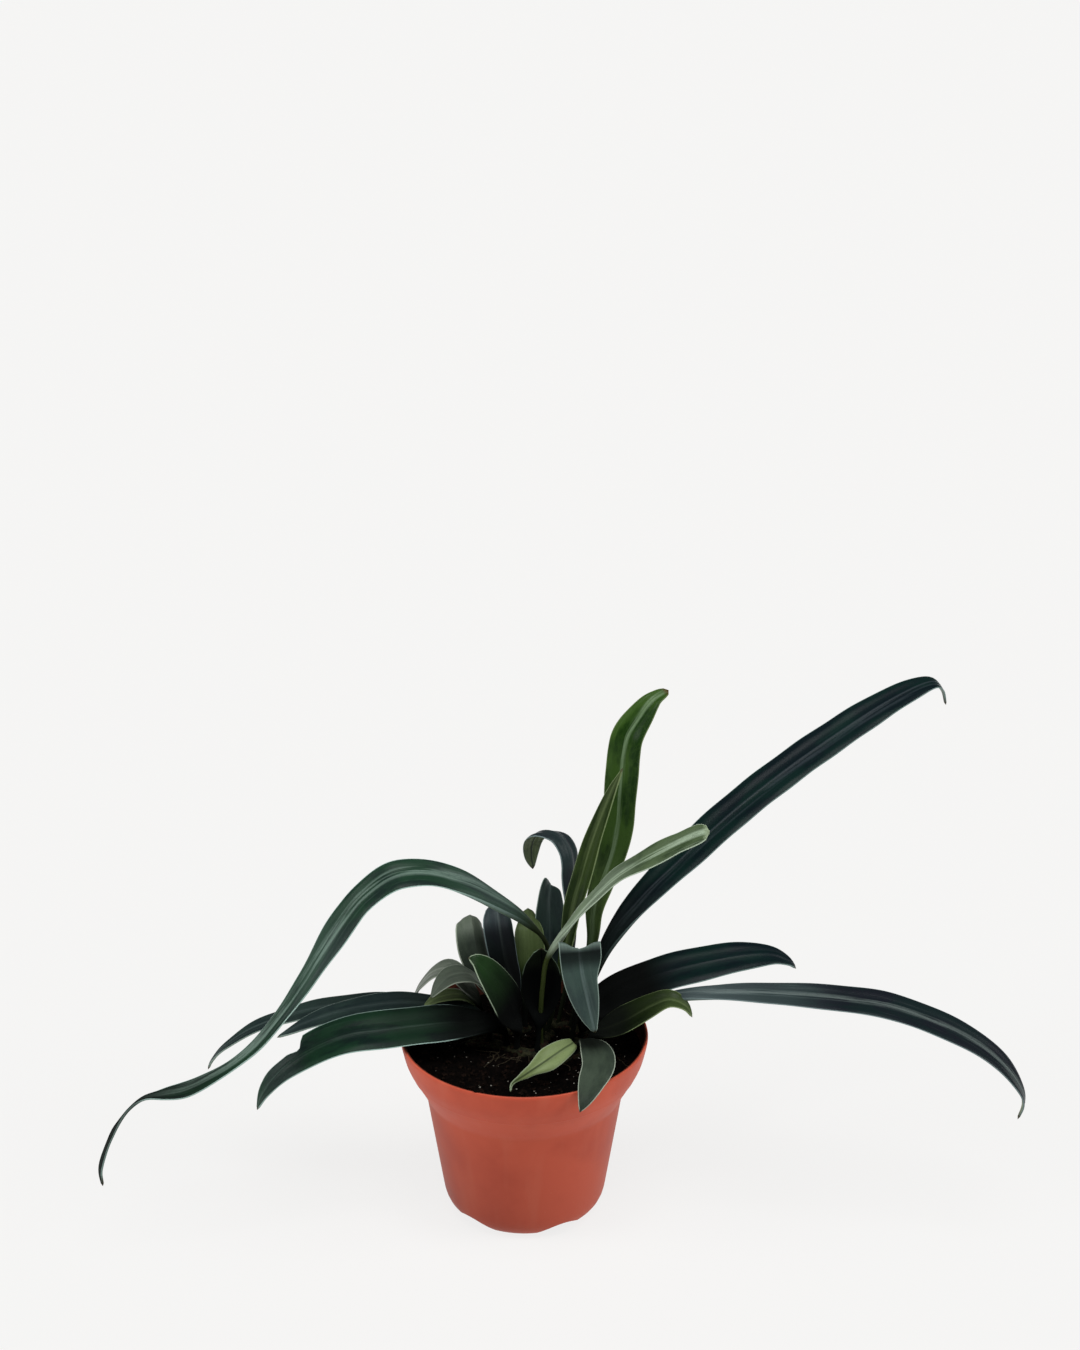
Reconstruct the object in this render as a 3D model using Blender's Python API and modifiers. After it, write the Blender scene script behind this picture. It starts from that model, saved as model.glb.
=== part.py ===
"""Potted blue oil fern: strap-leaved fronds on creeping rhizomes in a thin-walled nursery pot.

The plastic pot has a flared collar above a shoulder and five raised drain channels in its
foot. It is filled with potting mix. Four rhizomes lie half sunk in the mix, and every frond
is a separate piece that rises from its own joint on top of a rhizome.

Origin: centre of the flat foot of the pot, +Z up, front of the plant toward -Y.
All sizes below are in millimetres; MM turns them into metres.
"""
import math
from dataclasses import dataclass

import bmesh
import bpy
from mathutils import Vector, noise

MM = 0.001
ASSEMBLY_NAME = "potted_blue_oil_fern"

# ---- pot ---------------------------------------------------------------------------------
POT_HEIGHT = 94.0
RIM_RADIUS = 60.0
SHOULDER_HEIGHT = 64.0
SHOULDER_RADIUS = 48.2
FOOT_RADIUS = 29.5
WALL = 1.3
FLOOR = 1.8
TURN_STEPS = 44
CHANNELS = 5
CHANNEL_RADIUS = 22.0
CHANNEL_LIFT = 4.2
CHANNEL_EDGE = 35.0
CHANNEL_START = 13.0
CHANNEL_TURN = 11.0
DRAIN_RADIUS = 3.5
DRAIN_REACH = 27.0
MOULD_LINE_HEIGHT = 57.0

# ---- soil and rhizomes -------------------------------------------------------------------
SOIL_TOP = 84.0
SOIL_UNEVEN = 1.1
GAP = 0.3
RHIZOME_RADIUS = 3.2
RHIZOME_CENTRE = 84.6
CROWN = RHIZOME_CENTRE + RHIZOME_RADIUS + GAP

# ---- fronds ------------------------------------------------------------------------------
STIPE_RADIUS = 1.15
JOINT_RADIUS = 1.6
STIPE_THICKNESS = 2.3
BLADE_THICKNESS = 1.3
TIP_THICKNESS = 0.6
RING_SIDES = 8

# Colours are linear (red, green, blue) with roughness.
FINISHES = {
    "terracotta": ((0.42, 0.095, 0.055), 0.42),
    "potting_mix": ((0.010, 0.007, 0.006), 0.95),
    "rhizome": ((0.10, 0.085, 0.035), 0.7),
    "navy": ((0.010, 0.022, 0.026), 0.38),
    "deep_green": ((0.010, 0.030, 0.020), 0.38),
    "young_green": ((0.035, 0.085, 0.015), 0.40),
    "sage": ((0.10, 0.17, 0.085), 0.45),
    "grey_blue": ((0.035, 0.055, 0.055), 0.45),
}

# Paths of the rhizomes over the soil: (x, y) points.
RHIZOMES = {
    "rhizome_front_left": ((-29, 5.5), (-22, 5.2), (-16, 4), (-10, 1), (-5, -2), (0.5, -5),
                           (6, -4.8), (8.3, 1), (8.5, 7), (11, 12), (14, 17)),
    "rhizome_back_left": ((-33, 13.5), (-23, 13), (-14, 14.5), (-5, 17.2), (4, 21)),
    "rhizome_front_right": ((11, -13), (19, -10), (26, -7), (32, -3), (40, 5)),
    "rhizome_back_right": ((18, 0), (24, 4), (29.5, 9), (29, 14), (23, 19), (15, 23), (7, 27)),
}


@dataclass(frozen=True)
class Frond:
    """One frond: its joint on a rhizome, the line of its midrib and its outline."""

    name: str
    root: tuple            # x, y of the joint
    heading: float         # degrees from +X toward +Y that the frond leans to
    spine: tuple           # midrib points from the joint: (outward, upward, sideways)
    width: float           # full width at the widest place
    stipe: float = 0.12    # share of the length that is bare stalk
    widest: float = 0.55   # share of the length where the blade is widest
    rolls: tuple = ((0.0, 0.0),)   # (share of the length, degrees about the midrib)
    fold: float = 14.0     # degrees that each half of the blade rises from flat
    finish: str = "navy"
    narrows: tuple = ()    # (share of the length, factor on the width)


FRONDS = (
    Frond("frond_tall_right", (29.2, 14.5), 30,
          ((4.5, 22), (13, 43), (31, 62.5), (55, 79), (84, 97), (115, 112.5), (146, 125.5),
           (177, 136.5), (202, 141.5), (211, 136.5), (214.5, 126.5)),
          width=21.5, stipe=0.1, widest=0.45, rolls=((0, 5), (0.25, 16), (0.8, 16), (1, 0)), fold=16),
    Frond("frond_upright_green", (23, 18.5), 38,
          ((6, 20), (13, 42), (14, 59), (19, 72), (25, 86), (28.5, 100), (29.5, 114), (30.5, 126),
           (31.5, 137), (34, 146), (41, 154), (49, 160.5), (59, 163)),
          width=17, stipe=0.18, widest=0.66, rolls=((0, 0), (0.3, 30), (1, 30)),
          finish="young_green"),
    Frond("frond_upright_slim", (11.5, 13), 32,
          ((5, 22, -1), (8.5, 46, -3), (11.5, 63.5, -3.5), (15, 79, -5), (20, 97.5, -6.5),
           (25, 114, -8.5), (29.5, 126, -10), (33, 133.5, -11), (34, 137.5, -12)),
          width=12, stipe=0.2, widest=0.5, rolls=((0, 0), (0.3, 20), (1, 20)), fold=20,
          finish="young_green"),
    Frond("frond_sage", (8, 1.5), -15,
          ((0, 17.5), (1, 31.5), (3, 45.5), (9.5, 58), (17, 70), (27, 83.5), (39, 96.5), (53, 107),
           (67, 114.5), (78, 120), (84, 120.5)),
          width=13.5, stipe=0.3, widest=0.78, rolls=((0, 0), (0.4, 18), (1, 18)), fold=28,
          finish="sage"),
    Frond("frond_long_left", (8.5, 6.5), 195,
          ((-3, 22), (-3, 48.5), (8, 64.5), (23, 77.5), (37.5, 88.5), (52, 95.5), (65, 97.5),
           (75, 95.5), (86.5, 87.5), (94, 79), (104, 64.5), (116, 46), (125, 31), (137.5, 15.5),
           (150, 7), (162, 2), (174, -2.5), (185, -3.5), (194, -4), (201.5, -9), (208, -18),
           (213, -28.5), (216.5, -39.5), (216, -49)),
          width=17, stipe=0.17, widest=0.4, fold=18, finish="deep_green",
          rolls=((0, 0), (0.25, -28), (0.5, -24), (0.62, -10), (0.72, 15), (0.78, 40), (0.86, 0),
                 (1, 0)),
          narrows=((0.5, 1.0), (0.66, 0.72), (0.76, 0.9), (0.83, 0.4), (0.95, 0.62))),
    Frond("frond_curled_back", (17, 22), 140,
          ((-1, 22, -5), (-0.5, 46.5, -9.5), (1.5, 73.5, -10.5), (2, 82, -11), (4.5, 88, -12),
           (9.5, 93, -12), (16.5, 93.5, -11), (22, 91, -10), (25.5, 86, -10), (26.5, 78.5, -10),
           (26, 70.5, -11)),
          width=13, stipe=0.25, widest=0.6, fold=-10, finish="grey_blue"),
    Frond("frond_back_centre", (11.5, 25), 75,
          ((2, 12), (5, 24), (9.5, 35.5), (15, 48, 0.5), (21, 55.5, 1.5), (28, 58, 2), (36, 54, 3)),
          width=13.5, stipe=0.15, widest=0.5, fold=22, finish="grey_blue"),
    Frond("frond_back_left", (-10.5, 15.4), 125,
          ((5.5, 13, 1.5), (12.5, 24.5, 3), (19.5, 35.5, 4), (25.5, 44.5, 2), (32, 46.5, -2.5),
           (39, 38.5, -8.5)),
          width=14, stipe=0.25, widest=0.6, fold=-16, finish="grey_blue"),
    Frond("frond_back_dark", (-5.5, 17), 105,
          ((4, 17.5, -1), (8.5, 32, 2), (13, 43.5, 3), (19.5, 51.5, 1), (29, 49, -2.5), (38, 41, -5)),
          width=15, stipe=0.12, widest=0.5, fold=-16),
    Frond("frond_back_olive", (0, 19.2), 85,
          ((4.5, 18, -1), (8.5, 32.5, -1.5), (12.5, 44.5, -1), (18.5, 51.5, -0.5), (26.5, 51, -0.5),
           (36.5, 42, 0)),
          width=13.5, stipe=0.12, widest=0.5, fold=-14, finish="sage"),
    Frond("frond_arch_outer_left", (-19, 13.6), 160,
          ((2, 13), (4, 24), (9, 30.5), (16, 33), (25.5, 27), (33, 18), (37.5, 10)),
          width=10.5, stipe=0.2, widest=0.6, rolls=((0, 0), (0.4, -14), (1, -14)), finish="sage"),
    Frond("frond_arch_inner_left", (-14.5, 14.4), 206,
          ((0.5, 8), (1.5, 17), (5.5, 25), (14, 33.5), (23, 35), (29.5, 31), (34, 25)),
          width=11.5, stipe=0.2, widest=0.6, rolls=((0, 0), (0.4, -10), (1, -10)), finish="grey_blue"),
    Frond("frond_small_left", (-23.5, 13), 200,
          ((0.5, 10), (2, 18), (6, 23), (12, 24.5), (19, 23)),
          width=7.5, stipe=0.25, widest=0.65, rolls=((0, 0), (0.4, -10), (1, -10)),
          finish="young_green"),
    Frond("frond_inner_left", (-3.5, -2.8), 195,
          ((0, 10), (3.5, 23.5), (12, 39.5), (19, 49), (24, 52)),
          width=17.5, stipe=0.12, widest=0.5, rolls=((0, 0), (0.4, -36), (1, -36)),
          finish="deep_green"),
    Frond("frond_low_front_left", (-8.5, 0), 193,
          ((1, 6), (7, 11.5), (18, 14), (32, 15.5), (57, 15.5), (76, 14, -2), (93, 8.5, -3),
           (108, -1, -4), (118, -13.5, -5), (122, -24, -5.5)),
          width=22, stipe=0.06, widest=0.42, rolls=((0, 0), (0.12, -26), (1, -26)),
          finish="deep_green", narrows=((0.62, 1.0), (0.82, 0.78))),
    Frond("frond_low_middle_left", (-17, 4.4), 176,
          ((0, 6), (2, 11.5), (12, 15.5, -2), (24, 16.5, -3), (44, 16.5, -3.5), (68.5, 12, -3),
           (88.5, 4.5, -2.5), (105, -4.5, -1)),
          width=15, stipe=0.1, widest=0.55, rolls=((0, 0), (0.2, -16), (1, -16))),
    Frond("frond_low_back_left", (-28, 13.2), 172,
          ((0, 5), (3, 9), (10, 12.5, -1), (19, 13.5, -2), (34, 13, -2), (59, 9.5, -1.5), (84, 3),
           (107, -7, 1), (122, -18, 2.5), (129, -26.5, 3), (131.5, -32, 3.5)),
          width=13, stipe=0.1, widest=0.5, rolls=((0, 0), (0.2, -12), (1, -12))),
    Frond("frond_broad_right", (27.5, 6.8), 9,
          ((2, 7), (8, 15.5), (19, 23.5), (39, 31), (58.5, 35), (78.5, 37.5), (93.5, 37),
           (102.5, 33), (107, 28)),
          width=22, stipe=0.05, widest=0.42, rolls=((0, 0), (0.2, 22), (1, 22))),
    Frond("frond_long_right", (36, 1.7), -10,
          ((6, 12), (20, 23), (44, 30), (68, 33), (94, 33.5), (116, 33), (138.5, 31), (161, 24),
           (179, 16), (192.5, 6.5), (202, -5.5), (204.5, -13.5), (202.5, -22)),
          width=18, stipe=0.2, widest=0.62, rolls=((0, 0), (0.2, 14), (0.9, 14), (1, 0))),
    Frond("frond_small_right", (30, -4.5), -8,
          ((4, 8), (18.5, 17), (30.5, 25.5), (40, 30), (47.5, 27), (51, 21)),
          width=10.5, stipe=0.12, widest=0.5, rolls=((0, 0), (0.3, 14), (1, 14)), fold=24,
          finish="young_green"),
    Frond("frond_folded_front", (23, 3.2), -90,
          ((0, 17, 2), (3, 38, 2), (9, 53, 2.5), (15, 56, 2.5), (20, 47, 3.5), (24, 33, 6.5),
           (27, 19.5, 10.5)),
          width=18.5, stipe=0.28, widest=0.6, fold=16, finish="grey_blue"),
    Frond("frond_over_rim", (24, -7.9), -80,
          ((5, 8, 5), (18, 11, 7), (33, 11.5, 5.5), (42.5, 8.5, 0.5), (50, 5, -4), (54, 0, -7.5)),
          width=16, stipe=0.08, widest=0.5, fold=18, finish="grey_blue"),
    Frond("frond_small_front", (17, -10.8), -120,
          ((0, 5, 3), (2, 9.5, 8), (10.5, 10.5, 7.5), (21.5, 9, 4.5), (31.5, 5, -1), (36.5, 0, -5.5)),
          width=11.5, stipe=0.12, widest=0.55, rolls=((0, 0), (0.3, -35), (1, -35)), finish="sage"),
    Frond("frond_inner_dark", (6.3, -5.4), -90,
          ((-1.5, 13, 1), (-1.5, 26, 2), (2.5, 45, 2), (8.5, 55, 2), (14.5, 55, 2), (19.5, 46, 2),
           (21.5, 37, 1.5)),
          width=16, stipe=0.2, widest=0.55, fold=-16),
)


# ---- helpers -----------------------------------------------------------------------------
def clear_scene():
    """Remove every object and the collections that hold them."""
    for obj in list(bpy.data.objects):
        bpy.data.objects.remove(obj, do_unlink=True)
    for collection in list(bpy.data.collections):
        bpy.data.collections.remove(collection)


def new_collection(name):
    collection = bpy.data.collections.new(name)
    bpy.context.scene.collection.children.link(collection)
    return collection


def material(name, finish):
    """A Principled material of its own for one piece."""
    colour, roughness = FINISHES[finish]
    mat = bpy.data.materials.new(name)
    mat.use_nodes = True
    shader = mat.node_tree.nodes["Principled BSDF"]
    shader.inputs["Base Color"].default_value = (*colour, 1.0)
    shader.inputs["Roughness"].default_value = roughness
    shader.inputs["Metallic"].default_value = 0.0
    mat.diffuse_color = (*colour, 1.0)
    return mat


def add_object(name, mesh, collection, finish=None):
    obj = bpy.data.objects.new(name, mesh)
    collection.objects.link(obj)
    if finish:
        mesh.materials.clear()
        mesh.materials.append(material(name, finish))
    return obj


def mesh_from(name, vertices, faces, smooth=True):
    """A mesh with outward faces from vertices in millimetres."""
    mesh = bpy.data.meshes.new(name)
    mesh.from_pydata([Vector(v) * MM for v in vertices], [], faces)
    bm = bmesh.new()
    bm.from_mesh(mesh)
    bmesh.ops.remove_doubles(bm, verts=bm.verts, dist=0.00001)
    bmesh.ops.recalc_face_normals(bm, faces=bm.faces)
    bm.to_mesh(mesh)
    bm.free()
    for face in mesh.polygons:
        face.use_smooth = smooth
    return mesh


def applied(obj):
    """Turn an object's modifiers into its mesh."""
    graph = bpy.context.evaluated_depsgraph_get()
    mesh = bpy.data.meshes.new_from_object(obj.evaluated_get(graph))
    bm = bmesh.new()
    bm.from_mesh(mesh)
    bmesh.ops.remove_doubles(bm, verts=bm.verts, dist=0.000005)
    bmesh.ops.recalc_face_normals(bm, faces=bm.faces)
    bm.to_mesh(mesh)
    bm.free()
    old = obj.data
    obj.modifiers.clear()
    obj.data = mesh
    if isinstance(old, bpy.types.Mesh):
        bpy.data.meshes.remove(old)
    return obj


def turned(name, profile, collection):
    """A round solid: the closed (radius, height) profile turned about Z by a Screw modifier."""
    mesh = bpy.data.meshes.new(name)
    points = [Vector((radius, 0, height)) * MM for radius, height in profile]
    edges = [(i, i + 1) for i in range(len(points) - 1)]
    if profile[0][0] > 0 or profile[-1][0] > 0:
        edges.append((len(points) - 1, 0))
    mesh.from_pydata(points, edges, [])
    obj = add_object(name, mesh, collection)
    screw = obj.modifiers.new("turn", "SCREW")
    screw.axis = "Z"
    screw.steps = screw.render_steps = TURN_STEPS
    screw.use_merge_vertices = True
    screw.merge_threshold = 0.00001
    screw.use_smooth_shade = True
    bpy.context.view_layer.update()
    return applied(obj)


def boolean(obj, cutter, operation="DIFFERENCE"):
    cut = obj.modifiers.new("cut", "BOOLEAN")
    cut.object = cutter
    cut.operation = operation
    cut.solver = "EXACT"
    bpy.context.view_layer.update()
    return applied(obj)


def tube(name, points, radii, collection, sides_level=2):
    """A round rod through points in millimetres: a bevelled curve made into a mesh."""
    curve = bpy.data.curves.new(name, "CURVE")
    curve.dimensions = "3D"
    curve.bevel_depth = MM
    curve.bevel_resolution = sides_level
    curve.use_fill_caps = True
    spline = curve.splines.new("POLY")
    spline.points.add(len(points) - 1)
    for spot, point, radius in zip(spline.points, points, radii):
        spot.co = (*(Vector(point) * MM), 1.0)
        spot.radius = radius
    source = bpy.data.objects.new(name + "_curve", curve)
    collection.objects.link(source)
    bpy.context.view_layer.update()
    mesh = bpy.data.meshes.new_from_object(
        source.evaluated_get(bpy.context.evaluated_depsgraph_get()))
    bm = bmesh.new()
    bm.from_mesh(mesh)
    bmesh.ops.remove_doubles(bm, verts=bm.verts, dist=0.00001)
    bmesh.ops.recalc_face_normals(bm, faces=bm.faces)
    bm.to_mesh(mesh)
    bm.free()
    bpy.data.objects.remove(source, do_unlink=True)
    for face in mesh.polygons:
        face.use_smooth = True
    return mesh


def eased(share, stops):
    """Value at a share of the length, eased between (share, value) stops."""
    if share <= stops[0][0]:
        return stops[0][1]
    for (start, low), (end, high) in zip(stops, stops[1:]):
        if share <= end:
            t = (share - start) / (end - start)
            return low + (high - low) * t * t * (3 - 2 * t)
    return stops[-1][1]


def smooth_path(points, spacing):
    """Evenly spaced points along a smooth line through the given points."""
    ends = [points[0] * 2 - points[1], *points, points[-1] * 2 - points[-2]]
    fine = []
    for a, b, c, d in zip(ends, ends[1:], ends[2:], ends[3:]):
        for step in range(12):
            t = step / 12
            fine.append(0.5 * ((2 * b) + (c - a) * t + (2 * a - 5 * b + 4 * c - d) * t * t
                               + (3 * b - a - 3 * c + d) * t * t * t))
    fine.append(points[-1].copy())
    lengths = [0.0]
    for a, b in zip(fine, fine[1:]):
        lengths.append(lengths[-1] + (b - a).length)
    count = max(10, round(lengths[-1] / spacing))
    path, at = [], 0
    for step in range(count + 1):
        goal = lengths[-1] * step / count
        while at < len(fine) - 2 and lengths[at + 1] < goal:
            at += 1
        span = max(lengths[at + 1] - lengths[at], 1e-9)
        path.append(fine[at].lerp(fine[at + 1], (goal - lengths[at]) / span))
    return path


# ---- pot ---------------------------------------------------------------------------------
def channel_angles():
    return [math.radians(CHANNEL_TURN + 360 / CHANNELS * k) for k in range(CHANNELS)]


def channel_cutter(name, angle, grow, collection):
    """A tilted rod that enters the foot at CHANNEL_START and climbs to CHANNEL_LIFT at CHANNEL_EDGE."""
    tilt = math.atan2(CHANNEL_LIFT, CHANNEL_EDGE - CHANNEL_START)
    out = Vector((math.cos(angle), math.sin(angle), 0))
    along = out * math.cos(tilt) + Vector((0, 0, math.sin(tilt)))
    lower = Vector((0, 0, -CHANNEL_RADIUS / math.cos(tilt)))
    start = out * CHANNEL_START + lower - along * 30
    points = [start, start + along * 100]
    mesh = tube(name, points, [CHANNEL_RADIUS + grow] * 2, collection, sides_level=10)
    return add_object(name, mesh, collection)


def build_pot(collection, cutters):
    inner_rim = RIM_RADIUS - 1.5
    outer = [(0.0, POT_HEIGHT), (RIM_RADIUS - 0.5, POT_HEIGHT), (RIM_RADIUS, POT_HEIGHT - 0.5),
             (RIM_RADIUS, 91.8), (59.3, 91.0), (58.6, 86.0), (56.6, 80.0), (52.6, 72.5),
             (49.2, 66.0), (SHOULDER_RADIUS, SHOULDER_HEIGHT), (47.8, 62.5),
             (47.0, MOULD_LINE_HEIGHT), (40.2, 13.0), (39.2, 8.3), (36.9, 4.2), (33.6, 1.4),
             (FOOT_RADIUS, 0.0), (0.0, 0.0)]
    inner = [(0.0, POT_HEIGHT + 2), (inner_rim, POT_HEIGHT + 2), (inner_rim, POT_HEIGHT),
             (57.9, 90.5), (57.2, 86.0), (55.2, 80.0), (51.3, 73.0), (47.8, 66.2),
             (46.6, 63.2), (45.8, MOULD_LINE_HEIGHT), (38.9, 13.2), (37.9, 9.0), (35.7, 5.4),
             (32.9, 3.0), (29.3, FLOOR), (0.0, FLOOR)]
    pot = turned("pot", outer, collection)
    cavity = turned("pot_cavity", inner, cutters)
    for k, angle in enumerate(channel_angles()):
        boolean(cavity, channel_cutter(f"channel_ridge_{k}", angle, WALL, cutters))
        boolean(pot, channel_cutter(f"channel_{k}", angle, 0.0, cutters))
    boolean(pot, cavity)
    for k, angle in enumerate(channel_angles()):
        x, y = DRAIN_REACH * math.cos(angle), DRAIN_REACH * math.sin(angle)
        mesh = tube(f"drain_{k}", [Vector((x, y, -4)), Vector((x, y, 9))], [DRAIN_RADIUS] * 2,
                    cutters, sides_level=6)
        boolean(pot, add_object(f"drain_{k}", mesh, cutters))
    pot.data.materials.clear()
    pot.data.materials.append(material("pot", "terracotta"))
    pot.data.shade_smooth()
    bpy.ops.object.select_all(action="DESELECT")
    return pot


# ---- soil and rhizomes -------------------------------------------------------------------
def soil_height(x, y):
    """Uneven top of the potting mix, flat near the wall."""
    calm = min(1.0, max(0.0, (54.0 - math.hypot(x, y)) / 10.0))
    return SOIL_TOP + SOIL_UNEVEN * calm * noise.noise(Vector((x * 0.09, y * 0.09, 3.7)))


def rhizome_path(points, beyond=0.0):
    """Midline of a rhizome: level on the soil, with ends that dip into it."""
    flat = [Vector((x, y, RHIZOME_CENTRE)) for x, y in points]
    flat[0].z -= 2.0
    flat[-1].z -= 2.0
    path = smooth_path(flat, 3.5)
    if beyond:
        path[0] += (path[0] - path[1]).normalized() * beyond
        path[-1] += (path[-1] - path[-2]).normalized() * beyond
    return path


def rhizome_radii(count, grow=0.0):
    radii = [RHIZOME_RADIUS + grow] * count
    radii[0] = radii[-1] = RHIZOME_RADIUS * 0.55 + grow
    radii[1] = radii[-2] = RHIZOME_RADIUS * 0.9 + grow
    return radii


def build_rhizomes(collection):
    for name, points in RHIZOMES.items():
        path = rhizome_path(points)
        mesh = tube(name, path, rhizome_radii(len(path)), collection)
        add_object(name, mesh, collection, "rhizome")


def build_soil(collection, cutters):
    """Potting mix: the inside of the pot less a thin gap, with the rhizomes' beds cut in it."""
    side = [(54.9, 80.0), (51.0, 73.0), (47.5, 66.2), (46.3, 63.2), (45.5, MOULD_LINE_HEIGHT),
            (38.6, 13.3), (37.6, 9.2), (35.4, 5.7), (32.7, 3.4), (29.1, FLOOR + GAP)]
    edge_radius = 56.2
    rings, sides = (12, 24, 36, 47), 30
    vertices, faces = [(0, 0, soil_height(0, 0))], []
    outline = [(r, None) for r in rings] + [(edge_radius, SOIL_TOP)] + side
    for radius, height in outline:
        for k in range(sides):
            angle = 2 * math.pi * k / sides
            x, y = radius * math.cos(angle), radius * math.sin(angle)
            vertices.append((x, y, soil_height(x, y) if height is None else height))
    vertices.append((0, 0, FLOOR + GAP))
    for k in range(sides):
        after = (k + 1) % sides
        faces.append((0, 1 + k, 1 + after))
        for ring in range(len(outline) - 1):
            base = 1 + ring * sides
            faces.append((base + k, base + sides + k, base + sides + after, base + after))
        last = 1 + (len(outline) - 1) * sides
        faces.append((last + after, last + k, len(vertices) - 1))
    soil = add_object("soil", mesh_from("soil", vertices, faces), collection)
    for k, angle in enumerate(channel_angles()):
        boolean(soil, channel_cutter(f"soil_channel_{k}", angle, WALL + GAP, cutters))
    for name, points in RHIZOMES.items():
        path = rhizome_path(points, beyond=GAP)
        mesh = tube(name + "_bed", path, rhizome_radii(len(path), GAP), cutters)
        boolean(soil, add_object(name + "_bed", mesh, cutters))
    soil.data.materials.clear()
    soil.data.materials.append(material("soil", "potting_mix"))
    return soil


# ---- fronds ------------------------------------------------------------------------------
def frond_width(frond, share):
    """Half width: bare stalk, then a blade that swells and closes to an acute tip."""
    half = frond.width / 2
    if share < frond.stipe:
        size = JOINT_RADIUS + (STIPE_RADIUS - JOINT_RADIUS) * min(1.0, share / frond.stipe * 2)
    elif share < frond.widest:
        t = (share - frond.stipe) / (frond.widest - frond.stipe)
        size = STIPE_RADIUS + (half - STIPE_RADIUS) * math.sin(t * math.pi / 2) ** 0.95
    else:
        t = (share - frond.widest) / (1 - frond.widest)
        size = half * (1 - t ** 2.4) ** 0.85
    if frond.narrows:
        size *= eased(share, frond.narrows)
    return max(size, 0.45)


def frond_mesh(frond):
    """Loft of eight-sided rings along the midrib; a ring is a folded lens."""
    heading = math.radians(frond.heading)
    out = Vector((math.cos(heading), math.sin(heading), 0))
    across = Vector((-math.sin(heading), math.cos(heading), 0))
    root = Vector((*frond.root, CROWN))
    points = [root] + [root + out * p[0] + Vector((0, 0, p[1])) + across * (p[2] if len(p) > 2 else 0)
                       for p in frond.spine]
    rough_length = sum((b - a).length for a, b in zip(points, points[1:]))
    path = smooth_path(points, 9.0 if rough_length > 130 else 6.0)
    vertices, faces = [], []
    for i, point in enumerate(path):
        share = i / (len(path) - 1)
        along = (path[min(i + 1, len(path) - 1)] - path[max(i - 1, 0)]).normalized()
        if i == 0:
            along = Vector((0, 0, 1))
        side = (across - along * across.dot(along)).normalized()
        up = along.cross(side)
        roll = math.radians(eased(share, frond.rolls))
        side, up = (side * math.cos(roll) + up * math.sin(roll),
                    up * math.cos(roll) - side * math.sin(roll))
        half = frond_width(frond, share)
        blade = min(1.0, max(0.0, (share - frond.stipe) / 0.15))
        thick = eased(share, ((frond.stipe, STIPE_THICKNESS), (frond.stipe + 0.15, BLADE_THICKNESS),
                              (0.9, BLADE_THICKNESS), (1.0, TIP_THICKNESS)))
        if share < frond.stipe:
            thick = 2 * half
        rise = math.tan(math.radians(frond.fold)) * blade
        for k in range(RING_SIDES):
            angle = 2 * math.pi * k / RING_SIDES
            x = half * math.cos(angle)
            lift = thick / 2 * math.sin(angle) + rise * (abs(x) - half / 2)
            vertices.append(point + side * x + up * lift)
    for ring in range(len(path) - 1):
        base = ring * RING_SIDES
        for k in range(RING_SIDES):
            after = (k + 1) % RING_SIDES
            faces.append((base + k, base + after, base + RING_SIDES + after, base + RING_SIDES + k))
    last = (len(path) - 1) * RING_SIDES
    faces.append(tuple(range(RING_SIDES - 1, -1, -1)))
    faces.append(tuple(range(last, last + RING_SIDES)))
    return mesh_from(frond.name, vertices, faces)


def main():
    clear_scene()
    parts = new_collection(ASSEMBLY_NAME)
    cutters = new_collection("cutters")
    build_pot(parts, cutters)
    build_soil(parts, cutters)
    build_rhizomes(parts)
    for frond in FRONDS:
        add_object(frond.name, frond_mesh(frond), parts, frond.finish)
    for cutter in cutters.objects:
        cutter.hide_render = True
        cutter.display_type = "WIRE"


main()
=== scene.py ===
"""Dressed potted blue oil fern: leathery strap fronds on scaly rhizomes in a nursery pot.

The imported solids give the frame. This script replaces them with finished pieces: a moulded
pot, a crust of potting mix with crumbs and roots, scaly rhizomes, and fronds with a midrib,
waved margins and a skin that has an upper and a lower face.

Sizes of pieces are in millimetres and MM turns them into metres. +Z is up, the front of the
plant is toward -Y, and the origin is the middle of the pot's foot.
"""
import logging
import math
import random
from dataclasses import dataclass, field
from enum import Enum
from typing import Callable, ClassVar, Iterable, Sequence, Union

import bpy
import numpy as np
from mathutils import Matrix, Vector, noise


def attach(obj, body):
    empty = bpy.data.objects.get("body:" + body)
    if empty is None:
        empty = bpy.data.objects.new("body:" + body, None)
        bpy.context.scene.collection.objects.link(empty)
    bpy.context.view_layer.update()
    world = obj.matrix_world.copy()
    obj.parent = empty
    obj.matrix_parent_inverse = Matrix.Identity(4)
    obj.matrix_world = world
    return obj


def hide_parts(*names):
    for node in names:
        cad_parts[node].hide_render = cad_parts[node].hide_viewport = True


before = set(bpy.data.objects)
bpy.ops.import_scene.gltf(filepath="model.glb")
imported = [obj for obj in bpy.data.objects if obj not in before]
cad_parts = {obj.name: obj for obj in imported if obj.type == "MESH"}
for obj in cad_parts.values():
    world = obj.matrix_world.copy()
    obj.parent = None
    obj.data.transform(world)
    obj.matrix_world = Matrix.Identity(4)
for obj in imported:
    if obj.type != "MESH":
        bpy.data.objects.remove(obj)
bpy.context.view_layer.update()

MM = 0.001
LOG = logging.getLogger("fern")
Colour = tuple[float, float, float]
Pair = tuple[float, float]
Point = tuple[float, ...]
Stops = tuple[Pair, ...]
Route = tuple[Point, ...]
Number = Union[float, "Value"]
BLACK: Colour = (0.0, 0.0, 0.0)


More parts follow.
